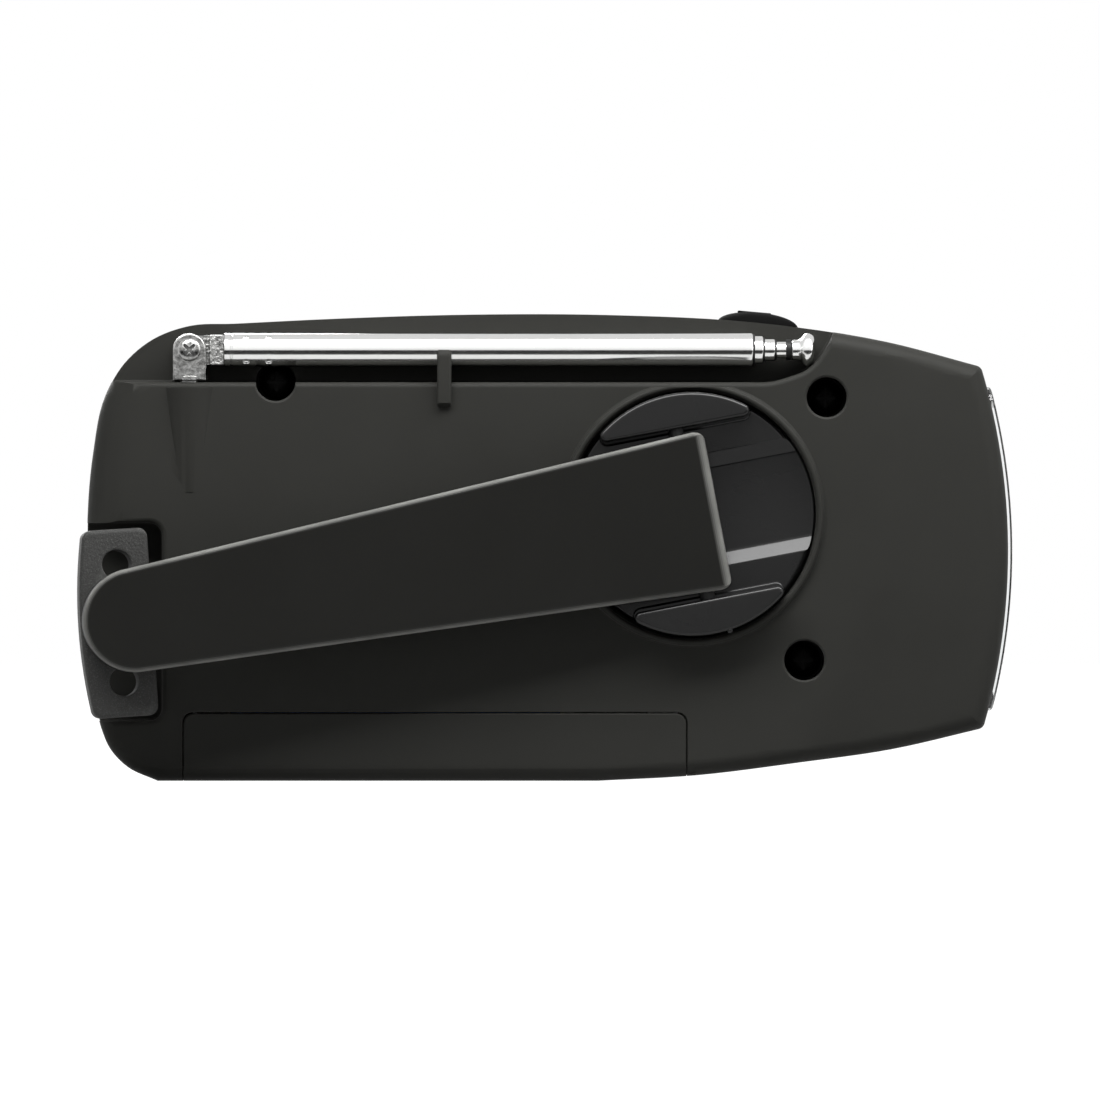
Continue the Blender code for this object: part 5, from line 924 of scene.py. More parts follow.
def hook_shape():
    """The finger that holds the stowed antenna."""
    root, tip = 0.802 * HEIGHT, 0.9237 * HEIGHT
    outline = (
        (root, -1.0), (root, 0.7), (root + 0.6, 1.2), (tip - 1.2, 1.2), (tip, 0.6), (tip, -0.18),
        (REBATE_WALL, -0.18), (REBATE_WALL - 1.15, -1.0),
    )
    return prism(outline, -1.15, 1.15, shift(-0.1114 * LENGTH, -HALF_DEPTH, 0) @ END @ FLIP_X)


def rear_housing(form, space):
    """The rear shell with its collar, rebate, notch, wells, fairing and hook."""
    shell = copy_of(form)
    carve(shell, block((-FAR, PARTING - GAP / 2, -OVER), (FAR, FAR, FAR)), copy_of(space))
    additions, cutters = [], []
    for index, share in enumerate(SCREWS):
        base = back_spot(spot(share))
        in_notch = index == 3
        top = -NOTCH_FLOOR if in_notch else 0
        additions.append(rod(4.7, top - 1, GAP - 28, 32, base))
        lip = [(3.55, OVER), (3.55, 0), (3.4, -0.05), (3.25, -0.16), (3.2, -0.35)]
        if in_notch:
            lip = [(3.2, OVER)]
        cutters.append(lathe([(0, OVER), *lip, (3.2, -16), (1.6, -16), (1.6, -31), (0, -31)], 48, base))
    additions.append(block((DOOR_LEFT - 1.4, -19, 1), (DOOR_RIGHT + 1.4, 2.7, 22.7)))
    additions.append(block((BUTTON[0] - 4, -12.8, 61.5), (BUTTON[0] + 4, -2.5, 63.1)))
    fairing = ((0, REBATE_WALL), (5.0, REBATE_WALL), (3.3, REBATE_WALL - 17.6), (0, REBATE_WALL - 18.4))
    additions.append(lathe(fairing, 48, UPRIGHT_FRAME))
    inner, outer, bead = 20.0, 21.1, 0.55
    ring = arc((outer - bead, 1.0 - bead), bead, RIGHT_ANGLE + 1.57, RIGHT_ANGLE - 1.57, 8)
    collar = [(inner, -1.0), (inner, 0.45), *ring, (outer, 0.3), (outer + 0.25, 0.0), (outer + 0.25, -1.0)]
    additions.append(lathe(collar, 96, back_spot(ROTOR), closed=True))
    additions.append(seam_band(0.9, 1.75, PARTING - 1.5, PARTING + 0.9))
    weld(shell, *additions)
    carve(shell, layered(rebate_outline(), mouth(REBATE_FLOOR, 0.8, 0.5), BACK))
    weld(shell, soften(hook_shape(), 0.35))
    opening = layered(door_outline(0), mouth(18, 0.15), BACK)
    well = [(0, OVER), (20.2, OVER), (20.2, 1.2), (19.9, 0.6), (19.9, -4), (5.7, -4), (5.7, -9), (0, -9)]
    return carve(
        shell,
        *cutters,
        layered(notch_outline(), mouth(NOTCH_FLOOR, 0.8, 0.4), BACK),
        block((DOOR_LEFT + 1.2, -18, 2), (DOOR_RIGHT - 1.2, 1.2, 21.2)),
        keep(opening, corner_strip(WALL + GAP)),
        lathe(well, 96, back_spot(ROTOR)),
        rod(1.7, 70, 56.5, 24, UPRIGHT_FRAME),
        layered(capsule(13.6, 9.2), mouth(4, 0.3), BUTTON_FRAME),
        *lens_seat(),
        prism(rectangle((FLAP_LEFT, -6), (FLAP_RIGHT, 6), 0.8), -OVER, 5.3),
    )


def front_housing(form, space, look):
    """The front shell with its speaker slots, dial recess and seats for the controls."""
    shell = copy_of(form)
    carve(shell, block((-FAR, -FAR, -OVER), (FAR, PARTING + GAP / 2, FAR)), copy_of(space))
    additions, cutters = [], []
    for share in SCREWS:
        base = front_spot(spot(share))
        additions.append(rod(3.4, -1, GAP / 2 - 12, 32, base))
        cutters.append(rod(1.6, -7.7, -15, 24, base))
    base = front_spot(SPEAKER)
    additions.append(lathe(((21.7, -1), (21.7, -5), (20.3, -5), (20.3, -1)), 64, base, closed=True))
    for share in ((-0.05, 0.20), (-0.05, 0.80)):
        additions.append(rod(2.2, -1, -9.3, 24, front_spot(spot(share))))
    weld(shell, *additions)
    carve(shell, seam_band(0.8, 1.85, PARTING - 1, PARTING + 1.0))
    height, pitch = look.slot_height * 1000, look.slot_pitch * 1000
    slot = layered(capsule(height * 2, height, 8), mouth(4, 0.25))
    values = {"Count": look.slot_count, "Pitch": pitch, "Radius": GRILLE_RADIUS, "Width": height}
    slots = set_out("grille", base, Shape=slot, **values)
    dial = ((0, OVER), (18.6, OVER), (18.6, 0.02), (18.35, -0.2), (18.3, -0.8), (0, -0.8))
    seat = front_spot(BAND) @ FLIP_Z
    return carve(
        shell,
        *cutters,
        slots,
        lathe(dial, 96, front_spot(TUNING)),
        rod(3.3, OVER, -4, 32, front_spot(TUNING)),
        rod(3.3, OVER, -4, 32, front_spot(VOLUME)),
        layered(rectangle((-5.9, -2.5), (8.4, 2.5), 0.9), mouth(0.45, 0.2), seat),
        block((-6.5, -1.3, -4), (1.5, 1.3, OVER), front_spot(BAND)),
        lathe(((0, OVER), (2.1, OVER), (1.8, -0.2), (1.8, -4), (0, -4)), 32, front_spot(CHARGE)),
        *lens_seat(),
    )


def battery_hatch(form):
    """The battery door, cut from the housing's own skin."""
    door = copy_of(form)
    edge = [(0.0, -18.0), (0.0, -0.3), (0.05, -0.15), (0.15, -0.04), (0.3, 0.02), (0.3, OVER)]
    keep(door, layered(door_outline(GAP / 2), edge, BACK))
    return keep(door, corner_strip(WALL))


def socket_flap(form):
    """The rubber flap over the sockets, with its finger notch."""
    flap = copy_of(form)
    keep(flap, prism(rectangle((FLAP_LEFT + GAP, -5.7), (FLAP_RIGHT - GAP, 5.7), 0.6), -OVER, 5.6))
    keep(flap, prism(housing_outline(), 0, 60, shift(0, 30, 0) @ TURN_X))
    inner = prism(housing_outline(1.8), -HALF_DEPTH, HALF_DEPTH, TURN_X)
    return carve(flap, inner, layered(capsule(4.0, 1.6), mouth(0.8, 0.25), shift(29.5, 0, 1.15) @ FLIP_X))


# Crank
def pad_outline(chord, radius, fillet):
    """A segment of a disc beyond a chord on its +y side, with rounded ends."""
    high, reach = chord + fillet, radius - fillet
    across = math.sqrt(reach**2 - high**2)
    lean = math.atan2(high, across)
    outline = arc((across, high), fillet, -RIGHT_ANGLE, lean, 8)
    outline += arc((0, 0), radius, lean, math.pi - lean, 40)[1:-1]
    return outline + arc((-across, high), fillet, math.pi - lean, 3 * RIGHT_ANGLE, 8)


def rotor_shape():
    """The rotor: a turned disc with two raised pads and the channel that the arm folds into."""
    rim = arc((ROTOR_RADIUS - 0.7, -1.5), 0.7, 0, RIGHT_ANGLE, 7)
    rotor = lathe([(0, -3.4), (ROTOR_RADIUS, -3.4), *rim, (0, -0.8)], 128, ROTOR_FRAME)
    for turn in (0, math.pi):
        side = moved(ROTOR_FRAME, turn=turn)
        weld(rotor, layered(pad_outline(13.8, ROTOR_RADIUS, 1.0), crown(-3.0, 5.7, 0.6), side))
        weld(rotor, layered(pad_outline(13.1, ROTOR_RADIUS - 0.08, 1.3), crown(-2.0, 0.15, 0.4), side))
    floor, top, low = 7.1, 9.0, -2.2
    slope = [(-top - 3.4, 2.2), (-top - 0.45, -0.6), (-top, -1.0), (-floor, low + 0.12), (-floor + 0.5, low)]
    outline = slope + [(-x, y) for x, y in slope[::-1]]
    carve(rotor, prism(outline, -22, 22, ROTOR_FRAME @ TURN_Z @ TURN_X))
    weld(rotor, rod(4.2, -3.1, -7.1, 48, ROTOR_FRAME))
    hinge_bore = rod(HINGE_BORE, 16.8, -16.8, 32, HINGE_FRAME @ TURN_X)
    carve(rotor, rod(2.4, -3.2, -12, 32, ROTOR_FRAME), hinge_bore)
    pip = ((0, 0.5), (0.25, 0.45), (0.45, 0.2), (0.5, -0.3), (0, -0.3))
    return weld(rotor, lathe(pip, 16, moved(BACK, 29.05, 24.15, 5.1)))


def pocket_half(along):
    """Half the width of the hollow under the arm at this distance from the hinge."""
    return HEEL_HALF + (TIP_HALF - HEEL_HALF) * (along - HEEL) / (ARM_TIP - HEEL) - 1.8


def lever_shape(look):
    """The crank arm: flat on top, rolled over at the heel, ribbed underneath."""
    heel = [(HEEL, HEEL_HALF), (HEEL, -HEEL_HALF)]
    tip = arc((ARM_TIP, 0), TIP_HALF, -RIGHT_ANGLE, RIGHT_ANGLE, 36)
    outline = rounded(heel + tip, [1.9, 1.9] + [0.0] * len(tip))
    arm = layered(outline, crown(-2.5, 2.5, look.lever_round * 1000, 0.5))
    bends = [RIGHT_ANGLE * i / 9 for i in range(10)]
    roll = [(-2.2 - 2.0 * math.sin(a), 2.55 - 2.2 * (1 - math.cos(a))) for a in bends]
    beyond = 60 + ARM_REACH
    side = [(beyond, 2.55), *roll, (HEEL, -1.6), (HEEL + 0.3, -2.2), (HEEL + 0.9, -2.6), (beyond, -2.6)]
    keep(arm, prism(side, -20, 20, TURN_X))
    start, rib = 10.0, 1.4
    pitch = (ARM_TIP - 4.0 - start) / look.pockets
    cutters = []
    for index in range(look.pockets):
        near = start + pitch * index
        far = near + pitch - rib
        a, b = pocket_half(near), pocket_half(far)
        pocket = rounded(((near, -a), (far, -b), (far, b), (near, a)), 0.8, 4)
        cutters.append(layered(pocket, [(0.3, 0.9), (0.0, 0.6), (0.0, -5.5)]))
    cutters.append(rod(HINGE_BORE, 15.9, -15.9, 32, TURN_X))
    cutters.append(rod(2.2, 0.8, -5.5, 32, shift(ARM_REACH, 0, 0)))
    carve(arm, *cutters)
    # Marks the faces of the rounded edges, where the lever's finish paints a highlight.
    rim = arm.data.attributes.new("rim", "FLOAT", "FACE")
    leans = [abs(face.normal.z) for face in arm.data.polygons]
    rim.data.foreach_set("value", [4 * lean * (1 - lean) for lean in leans])
    arm.data.transform(ARM_FRAME)
    return arm


def grip_shape():
    """The handle: a rounded bar with a bulged outer side and two holes through it."""
    half, inner, outer, corner, bulge = 15.0, 5.2, 5.3, 1.5, 1.1
    up, low, high = half - corner, -9.9, -2.8
    hole_reach = 9.36
    outline = arc((inner - corner, -up), corner, -RIGHT_ANGLE, 0, 6)
    outline += arc((inner - corner, up), corner, 0, RIGHT_ANGLE, 6)
    outline += arc((corner - outer, up), corner, RIGHT_ANGLE, math.pi, 6)[:-1]
    outline += arc_through((-outer, up), (-outer - bulge, 0), (-outer, -up), 14)[:-1]
    outline += arc((corner - outer, -up), corner, math.pi, 3 * RIGHT_ANGLE, 6)
    grip = layered(outline, crown(low, high, 0.7, 0.9))
    well = [(0, high + OVER), (2.75, high + OVER), (2.75, high), (2.4, high - 0.15), (2.3, high - 0.5)]
    well += [(2.3, low + 0.5), (2.4, low + 0.15), (2.75, low), (2.75, low - OVER), (0, low - OVER)]
    bore = [(0, high + OVER), (2.3, high + OVER), (2.3, low + 2.2), (3.5, low + 2.2), (3.5, low - OVER)]
    holes = [lathe(well, 48, shift(0, place, 0)) for place in (-hole_reach, hole_reach)]
    carve(grip, *holes, lathe(bore + [(0, low - OVER)], 48))
    grip.data.transform(GRIP_FRAME)
    return grip


# Antenna
def antenna_outer(look):
    """The outer tube with its rolled mouth and its crimps, each a groove with dents round it."""
    radius, lip = TUBE_RADIUS, 0.42
    groove = ((0, -0.34), (0.03, -0.2), (0.07, 0), (0.03, 0.2), (0, 0.34))
    grooves = [(radius - depth, crimp + along) for crimp in CRIMPS for depth, along in groove]
    profile = [(0, TUBE_END), *arc((radius - lip, TUBE_END - lip), lip, RIGHT_ANGLE, 0, 6), *grooves[::-1]]
    profile += [(radius, 6.9), (radius - 0.1, 6.8), (radius - 0.1, 6.6)]
    profile += [(radius, 6.5), (radius, 5.6), (0, 5.6)]
    tube = lathe(profile, 64, ANTENNA_FRAME)
    high = TUBE_END + OVER
    bore = ((0, high), (2.5, high), (2.5, 15.0), (2.31, 14.5), (2.31, 6.8), (0, 6.8))
    carve(tube, lathe(bore, 64, ANTENNA_FRAME))
    dents = []
    for crimp in CRIMPS:
        dent = lathe(arc((0, 0), 0.62, RIGHT_ANGLE, -RIGHT_ANGLE, 10), 20, shift(radius + 0.25, 0, 0))
        sweep = FULL_TURN / look.crimp_dents
        values = {"Shape": dent, "Count": look.crimp_dents, "Sweep": sweep, "First": sweep / 2}
        dents.append(set_out("ring", moved(ANTENNA_FRAME, 0, 0, crimp), **values))
    return carve(tube, *dents)


def antenna_tongue():
    """The cast block at the end of the tube, with the tongue that turns in the fork."""
    cast = soften(block((-2.42, -2.0, 3.2), (2.42, 2.0, 5.55), ANTENNA_FRAME), 0.25, 2)
    outline = [(3.5, -2.35), (3.5, 2.35)] + arc((0, 0), 2.35, RIGHT_ANGLE, 3 * RIGHT_ANGLE, 24)
    base = moved(BACK, *ANTENNA_PIVOT, -3.2)
    weld(cast, prism(outline, -1.0, 1.0, base))
    return carve(cast, rod(1.2, OVER, -8, 32, base))


def antenna_fork():
    """The fork on its flange and pin."""
    x, z = ANTENNA_PIVOT
    wall = REBATE_WALL + GAP
    outline = [(-2.65, wall - z), (2.65, wall - z)] + arc((0, 0), 2.65, 0, math.pi, 28)
    fork = layered(outline, crown(-2.7, 2.7, 0.3, 0.3, 4), shift(x, ANTENNA_PLANE, z) @ TURN_X)
    carve(fork, block((x - 6, -18.1, z - 2.95), (x + 6, -15.5, z + 6)))
    flange = [(0, wall + 0.75), (2.75, wall + 0.75), (2.95, wall + 0.6), (2.95, wall + 0.15), (2.75, wall)]
    weld(fork, lathe([*flange, (1.5, wall), (1.5, wall - 7), (0, wall - 7)], 64, UPRIGHT_FRAME))
    return carve(fork, rod(1.2, OVER, -10, 32, back_spot(ANTENNA_PIVOT)))


def cross_screw(radius, head, shank, reach, cross, base=PLAIN):
    """A domed screw with a cross recess; its head stands on height zero of its frame."""
    dome = ((0, 1), (0.45, 0.96), (0.75, 0.78), (0.93, 0.45), (1, 0.15), (1, 0))
    profile = [(radius * out, head * up) for out, up in dome]
    screw = lathe(profile + [(shank, 0), (shank, -reach), (0, -reach)], 48)
    for turn in (0, RIGHT_ANGLE):
        outline = rectangle((-cross / 2, -cross / 10), (cross / 2, cross / 10), cross / 12, 3)
        carve(screw, layered(outline, mouth(head * 0.75, 0.06, 0, 2), moved(PLAIN, 0, 0, head * 0.96, turn)))
    screw.data.transform(base)
    return screw


def antenna_rods():
    """The inner sections, each with a rolled edge, and the turned tip."""
    rods, lip = [], 0.3
    for radius, low, end, inner in SECTIONS:
        profile = arc((radius - lip, end - lip), lip, RIGHT_ANGLE, 0, 6) + [(radius, low)]
        if inner:
            rods.append(lathe(profile + [(inner, low), (inner, end)], 56, ANTENNA_FRAME, closed=True))
        else:
            rods.append(lathe([(0, end), *profile, (0, low)], 48, ANTENNA_FRAME))
    tip = (
        (0, 0), (1.75, 0), (2.0, 0.06), (2.25, 0.22), (2.48, 0.5), (2.64, 0.85), (2.7, 1.2), (2.62, 1.5),
        (2.42, 1.8), (2.1, 2.1), (1.85, 2.35), (1.72, 2.6), (1.68, 2.8), (1.68, 3.5), (1.5, 3.7), (0, 3.7),
    )
    return rods + [lathe([(radius, TIP_REACH - back) for radius, back in tip], 56, ANTENNA_FRAME)]


def mouth_shade_ring(radius, end):
    """A dark ring in the mouth of a section, round the next one: painted shade for the shadowed gap there.
    """
    near, far = radius + 0.02, radius + 0.22
    profile = [(far, end - 0.6), (far, end + 0.08), (far - 0.1, end + 0.24), (near, end + 0.24)]
    return lathe([*profile, (near, end - 0.6)], 48, ANTENNA_FRAME, closed=True)


# Controls on the front
def knob_shape(place, radius, floor, height, flutes, stem):
    """A fluted knob with a dished face and a pointer groove."""
    low = floor + GAP
    top = shift(0, 0, low + height)
    outline = []
    for i in range(flutes * 8):
        angle = FULL_TURN * i / (flutes * 8)
        reach = radius - 0.5 * (1 + math.cos(flutes * angle)) / 2
        outline.append((reach * math.cos(angle), reach * math.sin(angle)))
    knob = layered(outline, crown(low, low + height, 0.55, 0.2, 4))
    dish = ((0, OVER), (0.74, OVER), (0.74, 0.02), (0.70, -0.12), (0.5, -0.32), (0, -0.42))
    carve(knob, lathe([(radius * share, up) for share, up in dish], 72, top))
    pointer = rectangle((-0.5, radius * 0.30), (0.5, radius * 0.88), 0.45, 5)
    carve(knob, layered(pointer, mouth(0.75, 0.12, 0.1, 3), top))
    weld(knob, rod(3.0, low + 1, stem))
    knob.data.transform(front_spot(place))
    return knob


def band_cap():
    """The slide switch's cap with its thumb ribs and stem."""
    cap = layered(rectangle((-3, -2.1), (3, 2.1), 0.5, 4), crown(GAP, 1.6, 0.3, 0, 3))
    rib = layered(rectangle((-0.22, -1.6), (0.22, 1.6), 0.2, 3), ((0.1, 1.15), (0, 1.35), (-0.1, 2.2)))
    carve(cap, set_out("row", PLAIN, Shape=rib, Count=5, Start=(-1.8, 0, 0), Pitch=(0.9, 0, 0)))
    weld(cap, block((-1.2, -1.0, -8.0), (1.2, 1.0, 0.9)))
    cap.data.transform(front_spot(BAND))
    return cap


def dial_marks(look):
    """Ticks and plain numbers round the dial."""
    base = moved(front_spot(TUNING), 0, 0, -0.2)
    first, sweep = math.radians(-60), math.radians(300)
    fine, coarse = (16.6, 0.9, 0.11, look.dial_ticks), (16.2, 1.7, 0.16, (look.dial_ticks - 1) // 5 + 1)
    parts = []
    for radius, length, width, count in (fine, coarse):
        outline = rectangle((radius - length / 2, -width), (radius + length / 2, width), 0.05, 1)
        values = {"Shape": prism(outline, 0, 0.05), "Count": count, "Sweep": sweep / (count - 1)}
        parts.append(set_out("ring", base, First=first, **values))
    labels, label_radius = ("88", "92", "96", "100", "104", "108"), 14.3
    for i, label in enumerate(labels):
        angle = first + sweep * (1 - i / (len(labels) - 1))
        curve = bpy.data.curves.new("label", "FONT")
        curve.body, curve.size, curve.extrude = label, 1.75, 0.02
        curve.align_x = curve.align_y = "CENTER"
        guide = placed(curve)
        text = placed(evaluated(guide))
        bpy.data.objects.remove(guide)
        place = (label_radius * math.cos(angle), label_radius * math.sin(angle), 0.025)
        text.data.transform(base @ shift(*place))
        parts.append(text)
    return joined(parts)


# Torch end
def reflector_shape():
    """Three bright dishes sunk in one block."""
    face, floor = DISH_FACE, DISH_FACE + DISH_DEPTH
    outline = rectangle((LENS_LOW + 1.7, -10.1), (LENS_HIGH - 1.7, 10.1), 1.0)
    body = layered(outline, ((0, floor), (0, face + 0.3), (0.1, face + 0.1), (0.3, face)), END)
    dishes = []
    for share in LAMPS:
        depths = [i / 13 for i in range(14)]
        bowl = [(math.sqrt(3.0**2 + (6.2**2 - 3.0**2) * (1 - t)), face + DISH_DEPTH * t) for t in depths]
        profile = [(0, face - 1), (6.5, face - 1), (6.35, face), *bowl, (3.0, floor + 1), (0, floor + 1)]
        dishes.append(lathe(profile, 64, moved(END, share * HEIGHT)))
    return carve(body, *dishes)


def lamp_shape(share):
    """A clear round lamp with a domed end and a flange."""
    back = DISH_FACE + DISH_DEPTH
    dome = arc((0, back + GAP - 4.0), 2.0, -RIGHT_ANGLE, 0, 7)
    flange = [(2.05, back - 0.9), (2.4, back - 0.85), (2.4, back), (0, back)]
    return lathe(dome + flange, 40, moved(END, share * HEIGHT))


def key_shape():
    """The torch key: a domed cap on a flange, with a fine raised line across its crown."""
    rows = [(1, -4.1)] + [(math.cos(a), 2.1 * math.sin(a)) for a in np.linspace(0, 1.45, 12)]
    outline = capsule(13.0, 8.6, 20)
    cap = shape(lofted([[(x * share, y * share, up) for x, y in outline] for share, up in rows]))
    weld(cap, prism(capsule(15, 10.6, 20), -4.1, -3.3))
    line = rectangle((-3.4, -0.3), (2.0, 0.3), 0.28, 5)
    weld(cap, layered(line, ((0, 1.2), (0, 2.06), (0.1, 2.12), (0.2, 2.14))))
    cap.data.transform(BUTTON_FRAME)
    return cap


# Sizes and colours
def colour_of(name, default, text):
    values = {"name": name, "description": text, "default": default, "min": 0, "max": 1}
    return FloatVectorProperty(size=3, subtype="COLOR", **values)


def length_of(name, default, low, high, text):
    return FloatProperty(name=name, description=text, default=default, min=low, max=high, unit="LENGTH")


def count_of(name, default, low, high, text):
    return IntProperty(name=name, description=text, default=default, min=low, max=high)


def power_of(name, default, text):
    return FloatProperty(name=name, description=text, default=default, min=0, subtype="POWER", unit="POWER")


class RadioLook(PropertyGroup):
    """Sizes and colours of the finished radio"""

    body_colour: colour_of("Body", (0.022, 0.022, 0.020), "Colour of the soft black housing")
    lever_colour: colour_of("Lever", (0.0088, 0.0088, 0.0080), "Colour of the crank arm")
    rotor_colour: colour_of("Rotor", (0.008, 0.008, 0.008), "Colour of the glossy rotor and knobs")
    grip_colour: colour_of("Grip", (0.019, 0.019, 0.018), "Colour of the rough grip")
    chrome_colour: colour_of("Chrome", (0.86, 0.86, 0.85), "Colour of the bright metal")
    edge_round: length_of("Edge round", 0.0026, 0.001, 0.0027, "Rounding of the housing's long edges")
    lever_round: length_of("Lever round", 0.0009, 0.0004, 0.0018, "Rounding of the crank arm's upper edge")
    pockets: count_of("Pockets", 6, 2, 10, "Hollows under the crank arm")
    slot_count: count_of("Speaker slots", 9, 3, 9, "Number of slots over the speaker")
    slot_height: length_of("Slot height", 0.0020, 0.001, 0.003, "Height of one speaker slot")
    slot_pitch: length_of("Slot pitch", 0.0038, 0.003, 0.0045, "Distance from one speaker slot to the next")
    crimp_dents: count_of("Crimp dents", 4, 2, 8, "Dents round each crimp of the antenna")
    dial_ticks: count_of("Dial ticks", 26, 6, 51, "Fine ticks round the dial")


class RadioStage(PropertyGroup):
    """Camera, floor and light"""

    floor_colour: colour_of("Floor", (0.34, 0.34, 0.34), "Colour of the floor under its glow")
    view_width: length_of("View width", 0.176, 0.05, 10, "Width of what the camera sees at the radio's back")
    view_distance: length_of("View distance", 3.0, 0.5, 20, "Distance from the camera to the radio's back")
    sky_strength: FloatProperty(
        name="Sky", description="Strength of the light from all round", default=0.02, min=0
    )
    top_power: power_of("Top light", 3.0, "Power of the long light above")
    side_power: power_of("Side light", 0.75, "Power of the light at the right")
    front_power: power_of("Front light", 5.0, "Power of the light before the speaker side")


# Stage
def studio_sky(stage):
    """White to the camera, an even grey to matt surfaces, and bright above a dark horizon to glossy ones."""
    world = bpy.data.worlds.new("studio_sky")
    world.use_nodes = True
    sky = Nodes(world.node_tree)
    place = sky.node("ShaderNodeTexCoord", {}, {}, "Generated")
    along, up = (sky.node("ShaderNodeSeparateXYZ", {}, {0: place}, axis) for axis in "YZ")
    raised = sky.node("ShaderNodeMapRange", {}, {"Value": up, "From Min": -1.0})
    behind = sky.node("ShaderNodeMapRange", {}, {"Value": along, "From Min": -0.04, "From Max": 0.08})
    stops = ((0.0, 0.1), (0.49, 0.8), (0.52, 1.0), (0.65, 1.2), (0.94, 1.2), (1.0, 0.75))
    height = sky.node("ShaderNodeValToRGB", {"stops": stops}, {0: raised})
    mirrored = sky.node("ShaderNodeMix", {}, {0: behind, 2: height, 3: 0.80})
    shade = sky.node("ShaderNodeMix", {}, {0: sky.ray("Glossy"), 2: stage.sky_strength, 3: mirrored})
    seen = sky.ray("Camera").sum_with("MAXIMUM", sky.ray("Camera"), sky.ray("Transmission"))
    background = world.node_tree.nodes["Background"]
    sky.feed(background.inputs["Strength"], sky.node("ShaderNodeMix", {}, {0: seen, 2: shade, 3: 1.0}))
    sky.feed(background.inputs["Color"], (1, 1, 1, 1))
    return world


def stage_piece(obj, name, scale, first, second):
    """A part of the stage, with a dull clouded finish, and that finish's recipe."""
    obj.name = name
    recipe = Recipe(name, {"Roughness": 0.9, SHINE: 0.0})
    recipe.set("Base Color", recipe.mix(recipe.noise(scale, 2.0), first, second))
    obj.data.materials.append(recipe.material)
    return recipe


# Operators
class RADIO_OT_groups(Operator):
    """Builds the node groups that set out what repeats"""

    bl_idname = "radio.groups"
    bl_label = "Node groups"

    def execute(self, context):
        GROUPS.update(ring=ring_layout(), row=row_layout(), spots=spots_layout(), grille=grille_layout())
        return {"FINISHED"}


class RADIO_OT_housing(Operator):
    """Makes both shells, the battery door and the socket flap from one body"""

    bl_idname = "radio.housing"
    bl_label = "Housing"

    def execute(self, context):
        look = context.scene.radio_look
        form = housing_form(0, look.edge_round * 1000, 1.5)
        space = hollow()
        shell = rear_housing(form, space)
        finish_piece(shell, "rear_housing", "housing", "soft_black", ["rear_shell"])
        shell = front_housing(form, space, look)
        finish_piece(shell, "front_housing", "housing", "soft_black", ["front_shell"])
        finish_piece(battery_hatch(form), "battery_hatch", "door", "soft_black", ["battery_door"])
        finish_piece(socket_flap(form), "socket_flap", "cover", "rubber", ["socket_cover"])
        bpy.data.objects.remove(form)
        bpy.data.objects.remove(space)
        return {"FINISHED"}


class RADIO_OT_crank(Operator):
    """Makes the rotor, the crank arm and its grip"""

    bl_idname = "radio.crank"
    bl_label = "Crank"

    def execute(self, context):
        finish_piece(rotor_shape(), "rotor_disc", "crank", "gloss_black", ["crank_rotor"], 24)
        arm = lever_shape(context.scene.radio_look)
        finish_piece(arm, "crank_lever", "arm", "lever_black", ["crank_arm"])
        finish_piece(grip_shape(), "lever_grip", "grip", "rough_black", ["crank_grip"])
        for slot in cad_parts["hinge_pin"].material_slots:
            slot.material = material("black_steel")
        return {"FINISHED"}


class RADIO_OT_antenna(Operator):
    """Makes the antenna with its fork, screw, sections and tip"""

    bl_idname = "radio.antenna"
    bl_label = "Antenna"

    def execute(self, context):
        finish_piece(antenna_fork(), "antenna_fork", "housing", "worn_chrome", ["antenna_base"])
        screw = cross_screw(1.84, 0.6, 1.0, 5.4, 2.5, moved(BACK, *ANTENNA_PIVOT, -0.2, RIGHT_ANGLE / 2))
        finish_piece(screw, "antenna_pivot_screw", "housing", "worn_chrome", ["antenna_screw"])
        tube = antenna_outer(context.scene.radio_look)
        finish_piece(tube, "antenna_outer", "antenna", "chrome", ["antenna_tube"])
        finish_piece(antenna_tongue(), "antenna_tongue", "antenna", "cast_chrome")
        nodes = ("antenna_section_2", "antenna_section_3", "antenna_section_4", "antenna_tip")
        for made, body, node in zip(antenna_rods(), SECTION_BODIES, nodes):
            finish_piece(made, "finished_" + node, body, "chrome", [node])
        # Dark rings in the section mouths stand for the shadowed gaps: painted shade.
        radii = [section[0] for section in SECTIONS] + [1.46]
        ends = [TUBE_END] + [section[2] for section in SECTIONS]
        for body, radius, end in zip(("antenna", *SECTION_BODIES), radii, ends):
            finish_piece(mouth_shade_ring(radius, end), f"bush_{radius}".replace(".", "_"), body, "black_steel")
        return {"FINISHED"}


class RADIO_OT_controls(Operator):
    """Makes the knobs, the band switch, the charge light, the dial and the speaker cloth"""

    bl_idname = "radio.controls"
    bl_label = "Controls"

    def execute(self, context):
        knob = knob_shape(TUNING, 12.0, 0.1, 6.2, 20, -6.5)
        finish_piece(knob, "tuning_wheel", "tuning", "gloss_black", ["tuning_knob"])
        knob = knob_shape(VOLUME, 6.6, 0, 5.2, 14, -7.0)
        finish_piece(knob, "volume_wheel", "volume", "gloss_black", ["volume_knob"])
        finish_piece(band_cap(), "band_cap", "band", "gloss_black", ["band_switch"])
        profile = ((17.9, -0.2), (18.0, -0.3), (18.0, -0.5), (3.6, -0.5), (3.6, -0.2))
        dial = lathe(profile, 96, front_spot(TUNING), closed=True)
        finish_piece(dial, "dial_plate", "housing", "dial_paint", ["dial_ring"])
        finish_piece(dial_marks(context.scene.radio_look), "dial_marks", "housing", "ink")
        profile = ((0, 0.5), (0.6, 0.44), (1.1, 0.28), (1.45, 0.05), (1.6, -0.3), (1.6, -2), (0, -2))
        light = lathe(profile, 40, front_spot(CHARGE))
        finish_piece(light, "charge_light", "housing", "amber", ["charge_lens"])
        finish_piece(rod(18.9, -2.03, -2.25, 64, front_spot(SPEAKER)), "speaker_cloth", "housing", "cloth")
        return {"FINISHED"}


